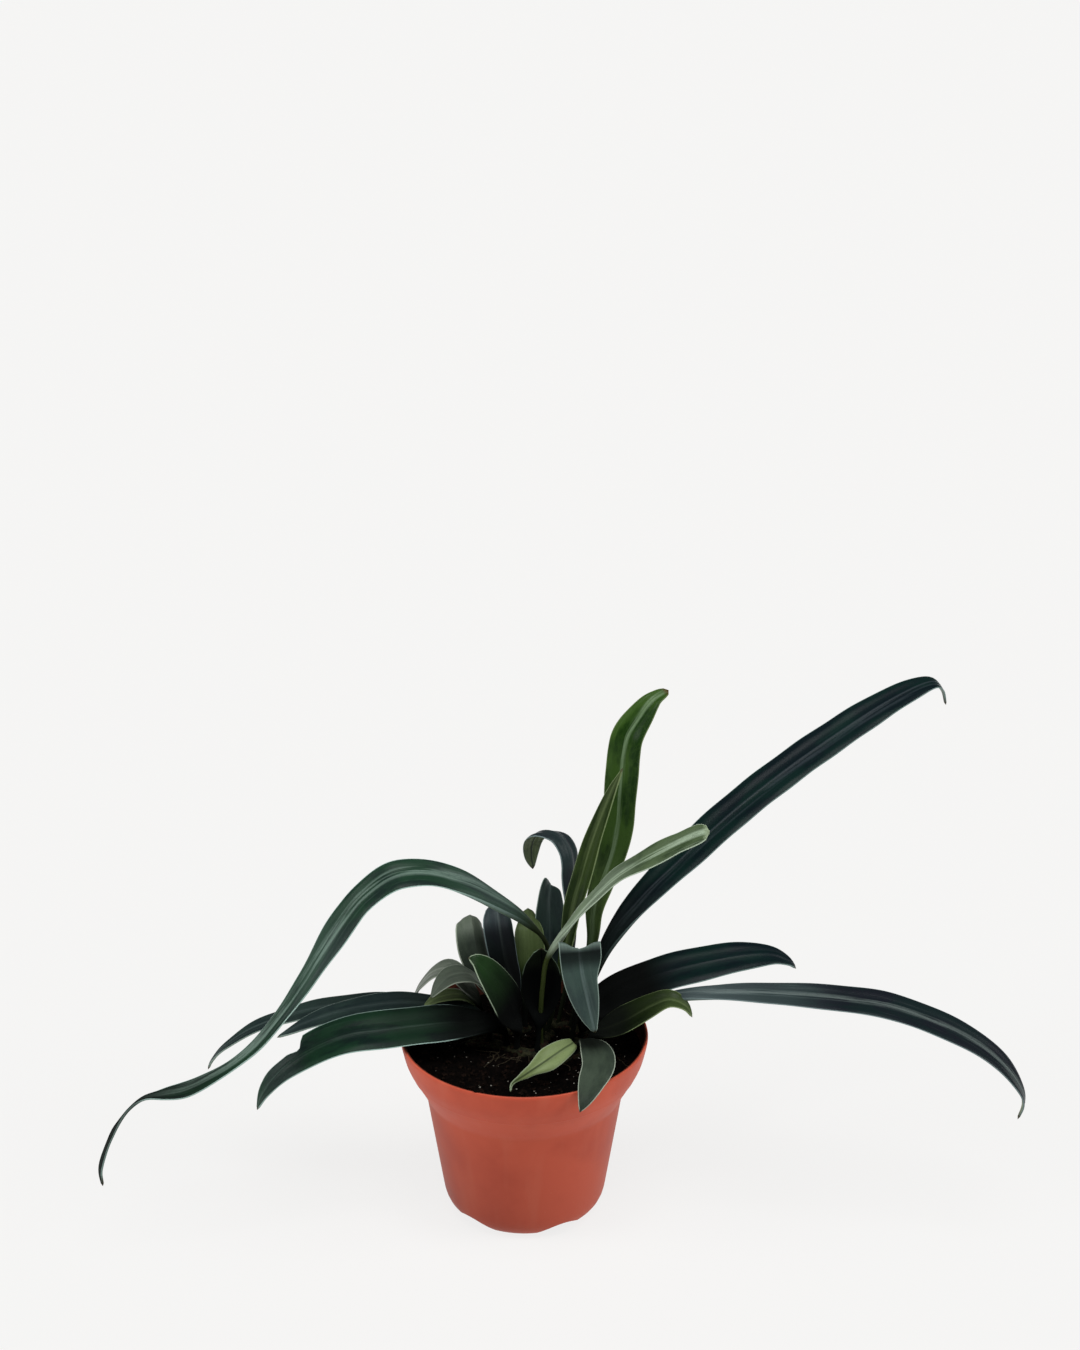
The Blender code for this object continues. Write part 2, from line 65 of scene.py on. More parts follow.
# ---- shader kit --------------------------------------------------------------------------
class Value:
    """A shader socket that Python expressions can work on."""

    def __init__(self, surface: "Surface", socket: bpy.types.NodeSocket) -> None:
        """Keep the socket and the surface that it belongs to."""
        self.surface = surface
        self.socket = socket

    def __add__(self, other: Number) -> "Value":
        """self + other."""
        return self.surface.math("ADD", self, other)

    __radd__ = __add__

    def __sub__(self, other: Number) -> "Value":
        """self - other."""
        return self.surface.math("SUBTRACT", self, other)

    def __rsub__(self, other: Number) -> "Value":
        """other - self."""
        return self.surface.math("SUBTRACT", other, self)

    def __mul__(self, other: Number) -> "Value":
        """self * other."""
        return self.surface.math("MULTIPLY", self, other)

    __rmul__ = __mul__

    def __abs__(self) -> "Value":
        """abs(self)."""
        return self.surface.math("ABSOLUTE", self)


class Surface:
    """One procedural material and the nodes that make it."""

    def __init__(self, name: str) -> None:
        """Start an empty Principled material.

        Args:
            name: The material's name.
        """
        self.material = bpy.data.materials.new(name)
        self.material.use_nodes = True
        self.tree = self.material.node_tree
        self.shader = self.tree.nodes["Principled BSDF"]

    def node(self, kind: str, settings: dict, inputs: dict) -> bpy.types.Node:
        """Add a node, set it up and feed its sockets.

        Args:
            kind: The node's type.
            settings: Its own settings, set before the sockets.
            inputs: Socket name, identifier or index to a number, a colour or a Value.

        Returns:
            The new node.
        """
        node = self.tree.nodes.new(kind)
        for key, value in settings.items():
            setattr(node, key, value)
        for key, value in inputs.items():
            self.feed(self._socket(node, key), value)
        return node

    @staticmethod
    def _socket(node: bpy.types.Node, key: Union[str, int]) -> bpy.types.NodeSocket:
        """Find an input by index, identifier or name.

        Args:
            node: The node to look in.
            key: Index, identifier or name.

        Returns:
            The input socket.
        """
        if isinstance(key, int):
            return node.inputs[key]
        for socket in node.inputs:
            if key in (socket.identifier, socket.name) and socket.enabled:
                return socket
        raise KeyError(f"{node.bl_idname} has no input {key}")

    def feed(self, socket: bpy.types.NodeSocket, value: Union[Number, Colour]) -> None:
        """Link a Value into a socket, or set the socket's own number or colour.

        Args:
            socket: The input to feed.
            value: A Value, a number, or three numbers.
        """
        if isinstance(value, Value):
            self.tree.links.new(value.socket, socket)
        elif isinstance(value, tuple) and socket.type == "RGBA":
            socket.default_value = (*value, 1.0)
        else:
            socket.default_value = value

    def math(self, operation: str, *values: Number) -> Value:
        """Add one Math node.

        Args:
            operation: The Math node's operation.
            *values: Its operands.

        Returns:
            The result.
        """
        node = self.node("ShaderNodeMath", {"operation": operation}, dict(enumerate(values)))
        return Value(self, node.outputs[0])

    def smooth(self, value: Value, low: float, high: float) -> Value:
        """0 at low and 1 at high, eased between.

        Args:
            value: The value to read.
            low: Where the result is 0; it may be above high.
            high: Where the result is 1.

        Returns:
            The result.
        """
        node = self.node("ShaderNodeMapRange", {"interpolation_type": "SMOOTHSTEP"},
                         {"Value": value, "From Min": low, "From Max": high})
        return Value(self, node.outputs[0])

    def mix(self, first: Union[Value, Colour], second: Union[Value, Colour],
            factor: Number) -> Value:
        """Blend two colours.

        Args:
            first: Colour at factor 0.
            second: Colour at factor 1.
            factor: How much of the second colour.

        Returns:
            The blended colour.
        """
        node = self.node("ShaderNodeMix", {"data_type": "RGBA"},
                         {"Factor_Float": factor, "A_Color": first, "B_Color": second})
        return Value(self, next(out for out in node.outputs if out.enabled))

    def split(self, vector: Value) -> tuple[Value, Value, Value]:
        """The three numbers of a vector."""
        node = self.node("ShaderNodeSeparateXYZ", {}, {"Vector": vector})
        return tuple(Value(self, out) for out in node.outputs)

    def vector(self, x: Number, y: Number, z: Number) -> Value:
        """A vector from three numbers."""
        return Value(self, self.node("ShaderNodeCombineXYZ", {}, {0: x, 1: y, 2: z}).outputs[0])

    def attribute(self, name: str) -> tuple[Value, Value, Value]:
        """The three numbers of a mesh attribute."""
        node = self.node("ShaderNodeAttribute", {"attribute_name": name}, {})
        return self.split(Value(self, node.outputs["Vector"]))

    def place(self) -> Value:
        """Object coordinates in metres."""
        return Value(self, self.node("ShaderNodeTexCoord", {}, {}).outputs["Object"])

    def noise(self, vector: Value, scale: float, detail: float = 2.0,
              roughness: float = 0.5) -> Value:
        """Smooth random values around 0.5.

        Args:
            vector: Where to read the pattern.
            scale: Features for each unit of the vector.
            detail: Octaves of finer pattern.
            roughness: Weight of the finer octaves.

        Returns:
            The pattern's value.
        """
        node = self.node("ShaderNodeTexNoise", {},
                         {"Vector": vector, "Scale": scale, "Detail": detail,
                          "Roughness": roughness})
        return Value(self, node.outputs[0])

    def cells(self, vector: Value, scale: float, feature: str = "F1") -> Value:
        """Distances in a field of random cells.

        Args:
            vector: Where to read the pattern.
            scale: Cells for each unit of the vector.
            feature: F1 for distance to the cell's point, DISTANCE_TO_EDGE for its border.

        Returns:
            The distance.
        """
        node = self.node("ShaderNodeTexVoronoi", {"feature": feature},
                         {"Vector": vector, "Scale": scale})
        return Value(self, node.outputs["Distance"])

    def finish(self, colour: Value, roughness: Number, height: Value, depth: float,
               strength: float = 1.0, **fixed: float) -> bpy.types.Material:
        """Feed the shader and close the material.

        Args:
            colour: Base colour.
            roughness: Roughness.
            height: Pattern that the bump reads, 0 to 1.
            depth: How high the bump's pattern stands, in metres.
            strength: How much of the bump shows.
            **fixed: Constants for the shader's other sockets, _ for a space.

        Returns:
            The material.
        """
        bump = self.node("ShaderNodeBump", {}, {"Height": height, "Distance": depth,
                                                "Strength": strength})
        self.feed(self.shader.inputs["Base Color"], colour)
        self.feed(self.shader.inputs["Roughness"], roughness)
        self.feed(self.shader.inputs["Normal"], Value(self, bump.outputs[0]))
        for key, value in fixed.items():
            self.shader.inputs[key.replace("_", " ")].default_value = value
        return self.material


# ---- finishes ----------------------------------------------------------------------------
@dataclass(frozen=True)
class Marks:
    """What a frond's skin reads from its mesh, and the patterns laid over it."""

    across: Value      # mm from the midrib, above 0 on the left
    share: Value       # share of the length
    edge: Value        # mm from the margin
    lower: Value       # 1 on the lower face
    blade: Value       # 1 on the blade and 0 on the stalk
    shade: Value       # painted shade: how far the skin is darkened where shade falls
    painted_highlight: Value        # painted highlight: how much pale sheen is laid on the skin
    patches: Value
    streaks: Value
    grain: Value
    glints: Value
    veins: Value
    rim: Value


@dataclass(frozen=True)
class LeafSkin:
    """Skin of a frond: a dark upper face, a paler lower face, a rib and a thin pale margin.

    A grid is how many features a pattern has to the millimetre, across and along. An edge
    is the pair of distances in millimetres between which a mark fades in.
    """

    slot: str
    top: Colour
    patch: Colour
    # rib: colour of the paler midrib, also laid as the painted sheen band and painted streak highlights
    rib: Colour
    margin: Colour
    under: Colour
    stalk: Colour = (0.016, 0.024, 0.007)
    tip: Colour = (0.045, 0.035, 0.015)
    # dark: the colour that the painted shade darkens the skin toward
    dark: Colour = (0.0006, 0.0012, 0.0010)
    patchiness: float = 0.5
    # sheen_strength: how strong the painted sheen band and the painted streak highlights are
    sheen_strength: float = 0.3
    rib_strength: float = 0.6
    margin_strength: float = 0.75
    roughness: float = 0.36
    gloss: float = 0.10
    relief: float = 0.00026
    patch_grid: Pair = (0.10, 0.035)
    streak_grid: Pair = (0.8, 0.03)
    grain_grid: Pair = (2.2, 1.1)
    glint_grid: Pair = (1.3, 0.9)
    vein_grid: Pair = (0.42, 0.20)
    vein_slant: float = 0.13
    rib_edge: Pair = (0.70, 0.20)
    rim_edge: Pair = (0.55, 0.28)
    glint_edge: Pair = (2.2, 0.6)

    def marks(self, s: Surface, seed: float) -> Marks:
        """Read the mesh's attributes and lay the patterns over the skin.

        Args:
            s: The surface that the nodes go to.
            seed: Moves the patterns, so that no two fronds match.

        Returns:
            The marks.
        """
        across, along, share = s.attribute("blade")
        edge, lower, blade = s.attribute("sheet")
        shade, painted_highlight, _ = s.attribute("painted_light")

        def spread(steps: Pair, shift: float = 0.0, slant: float = 0.0) -> Value:
            """Where a pattern is read, with rows that may slant back from the midrib."""
            run = along * steps[1] - abs(across) * slant if slant else along * steps[1]
            return s.vector(across * steps[0], run, seed + shift)

        patches = s.noise(spread(self.patch_grid), 1.0, 4.0, 0.6)
        streaks = s.noise(spread(self.streak_grid, 5.0), 1.0, 3.0)
        grain = s.noise(spread(self.grain_grid, 9.0), 1.0, 3.0, 0.7)
        glints = s.smooth(s.cells(spread(self.glint_grid), 1.0), 0.22, 0.10)
        net = s.cells(spread(self.vein_grid, 0.0, self.vein_slant), 1.0, "DISTANCE_TO_EDGE")
        rim = s.smooth(edge + 0.25 * (grain - 0.5), *self.rim_edge) * blade
        return Marks(across, share, edge, lower, blade, shade, painted_highlight, patches, streaks, grain,
                     glints, s.smooth(net, 0.09, 0.0), rim)

    def upper_face(self, s: Surface, m: Marks, rib_and_sheen: float, reach: float,
                   beside: float) -> Value:
        """Colour of the upper face.

        Args:
            s: The surface that the nodes go to.
            m: The skin's marks.
            rib_and_sheen: Strength of the paler rib and of the painted sheen band beside it.
            reach: How far to either side of its middle the painted sheen band runs, in millimetres.
            beside: How far to the left of the midrib the painted sheen band's middle lies.

        Returns:
            The colour.
        """
        low = 0.62 - 0.24 * self.patchiness
        keel = s.smooth(abs(m.across), *self.rib_edge) * m.blade
        sheen_band = s.smooth(abs(m.across - beside), reach, 0.3 * reach) * m.blade
        glints = m.glints * s.smooth(m.edge, *self.glint_edge) * m.blade
        top = s.mix(self.top, self.patch, s.smooth(m.patches, low - 0.10, low + 0.10))
        # Painted sheen: a pale band beside the midrib and pale streaks, laid where light catches the blade.
        top = s.mix(top, self.rib, sheen_band * s.smooth(m.streaks, 0.38, 0.60) * (self.sheen_strength * rib_and_sheen))
        top = s.mix(top, self.rib, s.smooth(m.streaks, 0.60, 0.76) * (0.30 * self.sheen_strength * rib_and_sheen))
        top = s.mix(top, self.patch, m.veins * 0.25)
        top = s.mix(top, self.rib, keel * (0.55 + 0.45 * m.streaks) * (self.rib_strength * rib_and_sheen))
        top = s.mix(top, self.margin, m.rim * self.margin_strength)
        return s.mix(top, self.margin, glints * 0.20)

    def lower_face(self, s: Surface, m: Marks) -> Value:
        """Colour of the lower face.

        Args:
            s: The surface that the nodes go to.
            m: The skin's marks.

        Returns:
            The colour.
        """
        under = s.mix(self.under, self.patch, s.smooth(m.patches, 0.42, 0.70) * 0.5)
        under = s.mix(under, self.top, m.veins * 0.30)
        under = s.mix(under, self.top, s.smooth(abs(m.across), 0.55, 0.15) * m.blade * 0.75)
        return s.mix(under, self.margin, m.rim * self.margin_strength * 0.6)

    def material(self, name: str, seed: float, rib_and_sheen: float, reach: float,
                 beside: float) -> bpy.types.Material:
        """Build the skin of one frond.

        Args:
            name: The material's name.
            seed: Moves the patterns, so that no two fronds match.
            rib_and_sheen: Strength of the paler rib and of the painted sheen band beside it.
            reach: How far to either side of its middle the painted sheen band runs, in millimetres.
            beside: How far to the left of the midrib the painted sheen band's middle lies.

        Returns:
            The material.
        """
        s = Surface(name)
        m = self.marks(s, seed)
        colour = s.mix(self.upper_face(s, m, rib_and_sheen, reach, beside), self.lower_face(s, m),
                       s.smooth(m.lower, 0.35, 0.65))
        # Painted highlight: pale sheen laid where light catches the blade.
        colour = s.mix(colour, self.margin, m.painted_highlight * (0.4 + 0.6 * m.streaks))
        colour = s.mix(self.stalk, colour, s.smooth(m.blade, 0.0, 0.45))
        colour = s.mix(colour, self.tip, s.smooth(m.share + 0.03 * m.grain, 0.992, 1.012))
        colour = s.mix(colour, BLACK, 0.12 * s.smooth(m.grain, 0.55, 0.30))
        # Painted shade: the skin darkens where shade falls, and its pale margin fades out in the deepest
        # shade.
        lit_rim = m.rim * s.smooth(m.shade, 0.98, 0.82)
        colour = s.mix(colour, self.dark, m.shade * (1.0 - 0.8 * lit_rim))
        rough = self.roughness + 0.24 * (m.streaks - 0.5) + 0.08 * (m.grain - 0.5) + 0.45 * m.shade
        height = 0.36 * m.streaks + 0.03 * m.grain - 0.12 * m.veins
        return s.finish(colour, rough, height, self.relief, 0.40, Specular_IOR_Level=self.gloss)


@dataclass(frozen=True)
class MouldedPlastic:
    """Thin moulded terracotta-coloured plastic, a little dusty and scuffed.

    Patterns are in features to the metre, and the rim's heights and radii in metres.
    """

    slot: str = "terracotta_plastic"
    body: Colour = (0.567, 0.097, 0.050)
    shade: Colour = (0.480, 0.075, 0.038)
    dust: Colour = (0.600, 0.152, 0.090)
    painted_inner_shade: Colour = (0.030, 0.012, 0.007)
    clouds: float = 28.0
    flow_across: float = 90.0
    flow_up: float = 9.0
    pores: float = 1400.0
    specks: float = 260.0
    side_reach: float = 0.045
    painted_foot_shade: float = 0.42
    fade: float = 11.0             # how fast the painted shade fades upward
    inner_shade_heights: Pair = (0.0946, 0.0924)
    lip_radii: Pair = (0.0596, 0.0590)
    lip_heights: Pair = (0.0930, 0.0938)
    roughness: float = 0.50
    gloss: float = 0.15
    relief: float = 0.00012

    def material(self, name: str) -> bpy.types.Material:
        """Build the plastic, with painted shade toward the foot, one side, the inner wall and the lip.

        Args:
            name: The material's name.

        Returns:
            The material.
        """
        s = Surface(name)
        place = s.place()
        x, y, z = s.split(place)
        cloud = s.noise(place, self.clouds, 4.0, 0.55)
        flow = s.noise(s.vector(x * self.flow_across, y * self.flow_across, z * self.flow_up),
                       1.0, 3.0)
        skin = s.noise(place, self.pores, 3.0, 0.6)
        specks = s.smooth(s.cells(place, self.specks), 0.13, 0.05) * s.smooth(cloud, 0.50, 0.62)
        colour = s.mix(self.shade, self.body, s.smooth(cloud, 0.30, 0.62))
        colour = s.mix(colour, self.dust, 0.22 * s.smooth(flow, 0.50, 0.72))
        colour = s.mix(colour, self.dust, specks * 0.35)
        # Painted shade: darker toward the foot and toward one side, where less light falls.
        side = s.smooth(x, -self.side_reach, self.side_reach)
        foot_shade_mask = (1.0 - z * self.fade) * (1.15 - 0.65 * side)
        colour = s.mix(colour, BLACK, foot_shade_mask * self.painted_foot_shade)
        # Painted shade on the inner wall below the rim's top, where little light reaches.
        inside = s.attribute("inside")[0] * s.smooth(z, *self.inner_shade_heights)
        colour = s.mix(colour, self.painted_inner_shade, inside * s.smooth(cloud, -0.10, 0.35) * 0.95)
        # Painted shade on the top of the inner lip.
        radius = s.math("SQRT", x * x + y * y)
        lip = s.smooth(radius, *self.lip_radii) * s.smooth(z, *self.lip_heights)
        colour = s.mix(colour, self.painted_inner_shade, lip * (0.70 + 0.25 * cloud))
        rough = self.roughness + 0.20 * (cloud - 0.5) + 0.10 * (flow - 0.5)
        height = skin * 0.6 + flow * 0.4
        return s.finish(colour, rough, height, self.relief, 0.35, Specular_IOR_Level=self.gloss)


@dataclass(frozen=True)
class Earth:
    """Matt peat, bark, perlite or scaly skin, from two colours and a coarse grain."""

    slot: str
    dark: Colour
    light: Colour
    scale: float = 420.0
    roughness: float = 0.95
    depth: float = 0.0006
    gloss: float = 0.25
    finer: float = 5.0

    def material(self, name: str) -> bpy.types.Material:
        """Build the material.

        Args:
            name: The material's name.

        Returns:
            The material.
        """
        s = Surface(name)
        place = s.place()
        coarse = s.noise(place, self.scale, 4.0, 0.65)
        fine = s.noise(place, self.scale * self.finer, 3.0, 0.7)
        colour = s.mix(self.dark, self.light, s.smooth(coarse, 0.38, 0.70))
        colour = s.mix(colour, self.dark, 0.5 * s.smooth(fine, 0.55, 0.40))
        height = coarse * 0.65 + fine * 0.35
        rough = self.roughness - 0.12 * s.smooth(coarse, 0.45, 0.70)
        return s.finish(colour, rough, height, self.depth, 0.8, Specular_IOR_Level=self.gloss)


class Skin(Enum):
    """The leaf skins that the plant shows."""

    NAVY = LeafSkin("frond_navy", (0.0032, 0.0088, 0.0120), (0.0036, 0.0170, 0.0150),
                    (0.044, 0.058, 0.068), (0.200, 0.290, 0.270), (0.080, 0.105, 0.060),
                    sheen_strength=0.45)
    SLATE = LeafSkin("frond_navy", (0.0085, 0.0110, 0.0165), (0.0070, 0.0160, 0.0170),
                     (0.110, 0.138, 0.132), (0.200, 0.270, 0.270), (0.145, 0.185, 0.090),
                     sheen_strength=0.75, rib_strength=0.9)
    # Painted shade: a navy skin darkened almost to black, for the frond that lies in deep shade at the
    # plant's centre.
    BLACK = LeafSkin("frond_navy", (0.0010, 0.0022, 0.0035), (0.0014, 0.0040, 0.0040),
                     (0.020, 0.026, 0.040), (0.230, 0.330, 0.220), (0.020, 0.030, 0.015),
                     gloss=0.06)
    DEEP = LeafSkin("frond_deep_green", (0.0062, 0.0170, 0.0140), (0.0105, 0.0390, 0.0195),
                    (0.155, 0.230, 0.188), (0.340, 0.480, 0.430), (0.060, 0.095, 0.040),
                    sheen_strength=0.60, margin_strength=0.95)
    MOSS = LeafSkin("frond_deep_green", (0.0085, 0.0260, 0.0070), (0.0140, 0.0420, 0.0110),
                    (0.060, 0.100, 0.040), (0.380, 0.480, 0.340), (0.060, 0.095, 0.040),
                    sheen_strength=0.30, margin_strength=0.95)
    YOUNG = LeafSkin("frond_young_green", (0.0085, 0.032, 0.0035), (0.038, 0.088, 0.013),
                     (0.150, 0.230, 0.120), (0.200, 0.270, 0.110), (0.080, 0.130, 0.040),
                     patchiness=0.6, sheen_strength=0.7, margin_strength=0.6, tip=(0.085, 0.050, 0.018))
    OLIVE = LeafSkin("frond_young_green", (0.0105, 0.024, 0.0035), (0.025, 0.047, 0.008),
                     (0.110, 0.150, 0.060), (0.220, 0.290, 0.130), (0.090, 0.110, 0.050),
                     sheen_strength=0.4)
    SAGE = LeafSkin("frond_sage_green", (0.034, 0.060, 0.024), (0.086, 0.130, 0.062),
                    (0.340, 0.440, 0.310), (0.440, 0.540, 0.410), (0.090, 0.140, 0.055),
                    sheen_strength=0.9, rib_strength=0.9, margin_strength=0.9,
                    stalk=(0.040, 0.056, 0.013), tip=(0.300, 0.380, 0.240))
    LIME = LeafSkin("frond_sage_green", (0.140, 0.185, 0.066), (0.200, 0.260, 0.110),
                    (0.020, 0.034, 0.012), (0.300, 0.370, 0.240), (0.090, 0.140, 0.055),
                    sheen_strength=0.10, rib_strength=0.9, margin_strength=0.8)
    GREY = LeafSkin("frond_grey_blue", (0.015, 0.029, 0.029), (0.026, 0.049, 0.042),
                    (0.100, 0.140, 0.135), (0.280, 0.370, 0.320), (0.093, 0.124, 0.056),
                    sheen_strength=0.45)
    ASH = LeafSkin("frond_grey_blue", (0.034, 0.048, 0.035), (0.056, 0.078, 0.054),
                   (0.150, 0.180, 0.140), (0.350, 0.400, 0.320), (0.100, 0.120, 0.085),
                   sheen_strength=0.4, margin_strength=0.95)
    PALE = LeafSkin("frond_grey_blue", (0.090, 0.110, 0.085), (0.150, 0.175, 0.140),
                    (0.280, 0.310, 0.260), (0.450, 0.500, 0.420), (0.180, 0.200, 0.160),
                    sheen_strength=0.5)


PLASTIC = MouldedPlastic()
PEAT = Earth("potting_mix", (0.0007, 0.0004, 0.0003), (0.0042, 0.0024, 0.0018), gloss=0.04)
BARK = Earth("potting_mix", (0.0016, 0.0009, 0.0006), (0.0160, 0.0080, 0.0050), 900.0,
             gloss=0.06)
PERLITE = Earth("potting_mix", (0.12, 0.11, 0.09), (0.40, 0.38, 0.34), 1500.0, depth=0.0003)
ROOT = Earth("rhizome_skin", (0.016, 0.012, 0.007), (0.060, 0.048, 0.030), 1800.0, 0.8, 0.0002,
             0.10)
RHIZOME_SKIN = Earth("rhizome_skin", (0.006, 0.007, 0.003), (0.038, 0.036, 0.016), 500.0, 0.75,
                     0.0005, 0.10)
SCALE = Earth("rhizome_skin", (0.006, 0.003, 0.002), (0.040, 0.020, 0.010), 1300.0, 0.8, 0.0002,
              0.10)


# ---- modelling helpers -------------------------------------------------------------------
def deselect() -> None:
    """Leave no object selected or active."""
    bpy.ops.object.select_all(action="DESELECT")
    bpy.context.view_layer.objects.active = None


def activate(piece: bpy.types.Object) -> None:
    """Make one object the only selected one and the active one.

    Args:
        piece: The object.
    """
    deselect()
    piece.select_set(True)
    bpy.context.view_layer.objects.active = piece


def added(name: str) -> bpy.types.Object:
    """Name the primitive that was just added.

    Args:
        name: Its name.

    Returns:
        The primitive.
    """
    piece = bpy.context.object
    piece.name = name
    piece.data.name = name
    return piece


def apply_place(piece: bpy.types.Object) -> None:
    """Put an object's place, turn and size into its mesh."""
    activate(piece)
    bpy.ops.object.transform_apply(location=True, rotation=True, scale=True)


def apply_modifier(piece: bpy.types.Object, modifier: bpy.types.Modifier) -> None:
    """Turn one modifier into mesh."""
    activate(piece)
    bpy.ops.object.modifier_apply(modifier=modifier.name)


def cut(piece: bpy.types.Object, cutter: bpy.types.Object) -> None:
    """Cut one solid out of another.

    Args:
        piece: The solid that stays.
        cutter: The solid that is cut away and used up.
    """
    modifier = piece.modifiers.new("cut", "BOOLEAN")
    modifier.object = cutter
    modifier.operation = "DIFFERENCE"
    modifier.solver = "EXACT"
    apply_modifier(piece, modifier)
    bpy.data.objects.remove(cutter, do_unlink=True)


def thicken(piece: bpy.types.Object, thickness: float, offset: float) -> None:
    """Give a sheet a thickness.

    Args:
        piece: The sheet.
        thickness: Its thickness, in the units of its mesh.
        offset: -1 for all of it below the sheet, and 0 for half to either side.
    """
    wall = piece.modifiers.new("wall", "SOLIDIFY")
    wall.thickness = thickness
    wall.offset = offset
    apply_modifier(piece, wall)


def join(name: str, parts: Sequence[bpy.types.Object]) -> bpy.types.Object:
    """Join several meshes into one piece.

    Args:
        name: The joined piece's name.
        parts: The meshes.

    Returns:
        The joined piece.
    """
    activate(parts[0])
    for part in parts:
        part.select_set(True)
    bpy.ops.object.join()
    return added(name)


def soften(piece: bpy.types.Object, degrees: float) -> None:
    """Shade a piece smooth, with edges sharper than an angle kept."""
    activate(piece)
    bpy.ops.object.shade_smooth_by_angle(angle=math.radians(degrees))


def closed(piece: bpy.types.Object, reach: float = 0.000002) -> None:
    """Merge a rolled skin's seam, fill its open ends and turn its faces outward.

    Args:
        piece: The mesh to close.
        reach: Vertices nearer than this are merged, in metres.
    """
    activate(piece)
    bpy.ops.object.mode_set(mode="EDIT")
    bpy.ops.mesh.select_all(action="SELECT")
    bpy.ops.mesh.remove_doubles(threshold=reach)
    bpy.ops.mesh.fill_holes(sides=0)
    bpy.ops.mesh.select_all(action="SELECT")
    bpy.ops.mesh.normals_make_consistent(inside=False)
    bpy.ops.object.mode_set(mode="OBJECT")


def grid(name: str, columns: int, rows: int) -> tuple[bpy.types.Object, np.ndarray, np.ndarray]:
    """Add a flat grid that is then laid over a form.

    Args:
        name: The new piece's name.
        columns: Faces from side to side.
        rows: Faces from end to end.

    Returns:
        The piece, and each vertex's shares across and along.
    """
    deselect()
    bpy.ops.mesh.primitive_grid_add(x_subdivisions=columns, y_subdivisions=rows, size=1.0)
    piece = added(name)
    flat = np.empty(len(piece.data.vertices) * 3)
    piece.data.vertices.foreach_get("co", flat)
    flat = flat.reshape(-1, 3)
    span = np.ptp(flat, axis=0)
    low = flat.min(axis=0)
    return piece, (flat[:, 0] - low[0]) / span[0], (flat[:, 1] - low[1]) / span[1]


def lay(piece: bpy.types.Object, points: np.ndarray) -> None:
    """Move every vertex of a piece to a point in millimetres."""
    piece.data.vertices.foreach_set("co", (points * MM).astype(np.float32).ravel())
    piece.data.update()


def carry(piece: bpy.types.Object, name: str, values: np.ndarray) -> None:
    """Store three numbers at every vertex for the material to read."""
    attribute = piece.data.attributes.new(name, "FLOAT_VECTOR", "POINT")
    attribute.data.foreach_set("vector", values.astype(np.float32).ravel())


def copies(name: str, template: bpy.types.Object, places: Iterable[Matrix]) -> bpy.types.Object:
    """Copy a small shape to many places and join the copies into one piece.

    Args:
        name: The joined piece's name.
        template: The shape, modelled once; it is used up.
        places: Where each copy goes, in millimetres.

    Returns:
        The joined piece.
    """
    made = []
    for place in places:
        mesh = template.data.copy()
        mesh.transform(Matrix.Scale(MM, 4) @ place)
        copy = bpy.data.objects.new(name, mesh)
        bpy.context.scene.collection.objects.link(copy)
        made.append(copy)
    bpy.data.objects.remove(template, do_unlink=True)
    return join(name, made)


def dressed(piece: bpy.types.Object, material: bpy.types.Material, slot: str,
            *nodes: str) -> bpy.types.Object:
    """Give a finished piece its material, its body and the solids that it stands for.

    Args:
        piece: The finished piece.
        material: Its material.
        slot: A material slot's name; not used.
        *nodes: CAD nodes that it replaces.

    Returns:
        The piece.
    """
    piece.data.materials.clear()
    piece.data.materials.append(material)
    for face in piece.data.polygons:
        face.material_index = 0
    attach(piece, "root")
    if nodes:
        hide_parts(*nodes)
    LOG.info("%s: %d faces, stands for %s", piece.name, len(piece.data.polygons), list(nodes))
    return piece


def eased(share: np.ndarray, stops: Stops) -> np.ndarray:
    """Values at shares of a length, eased between stops.

    Args:
        share: Shares of the length.
        stops: (share, value) pairs in order.

    Returns:
        The values.
    """
    out = np.full_like(share, stops[0][1], dtype=float)
    for (start, low), (end, high) in zip(stops, stops[1:]):
        t = np.clip((share - start) / (end - start), 0.0, 1.0)
        out = np.where(share >= start, low + (high - low) * t * t * (3 - 2 * t), out)
    return out


def rise(value: np.ndarray, low: float, high: float) -> np.ndarray:
    """0 below low, 1 above high and eased between."""
    t = np.clip((value - low) / (high - low), 0.0, 1.0)
    return t * t * (3 - 2 * t)


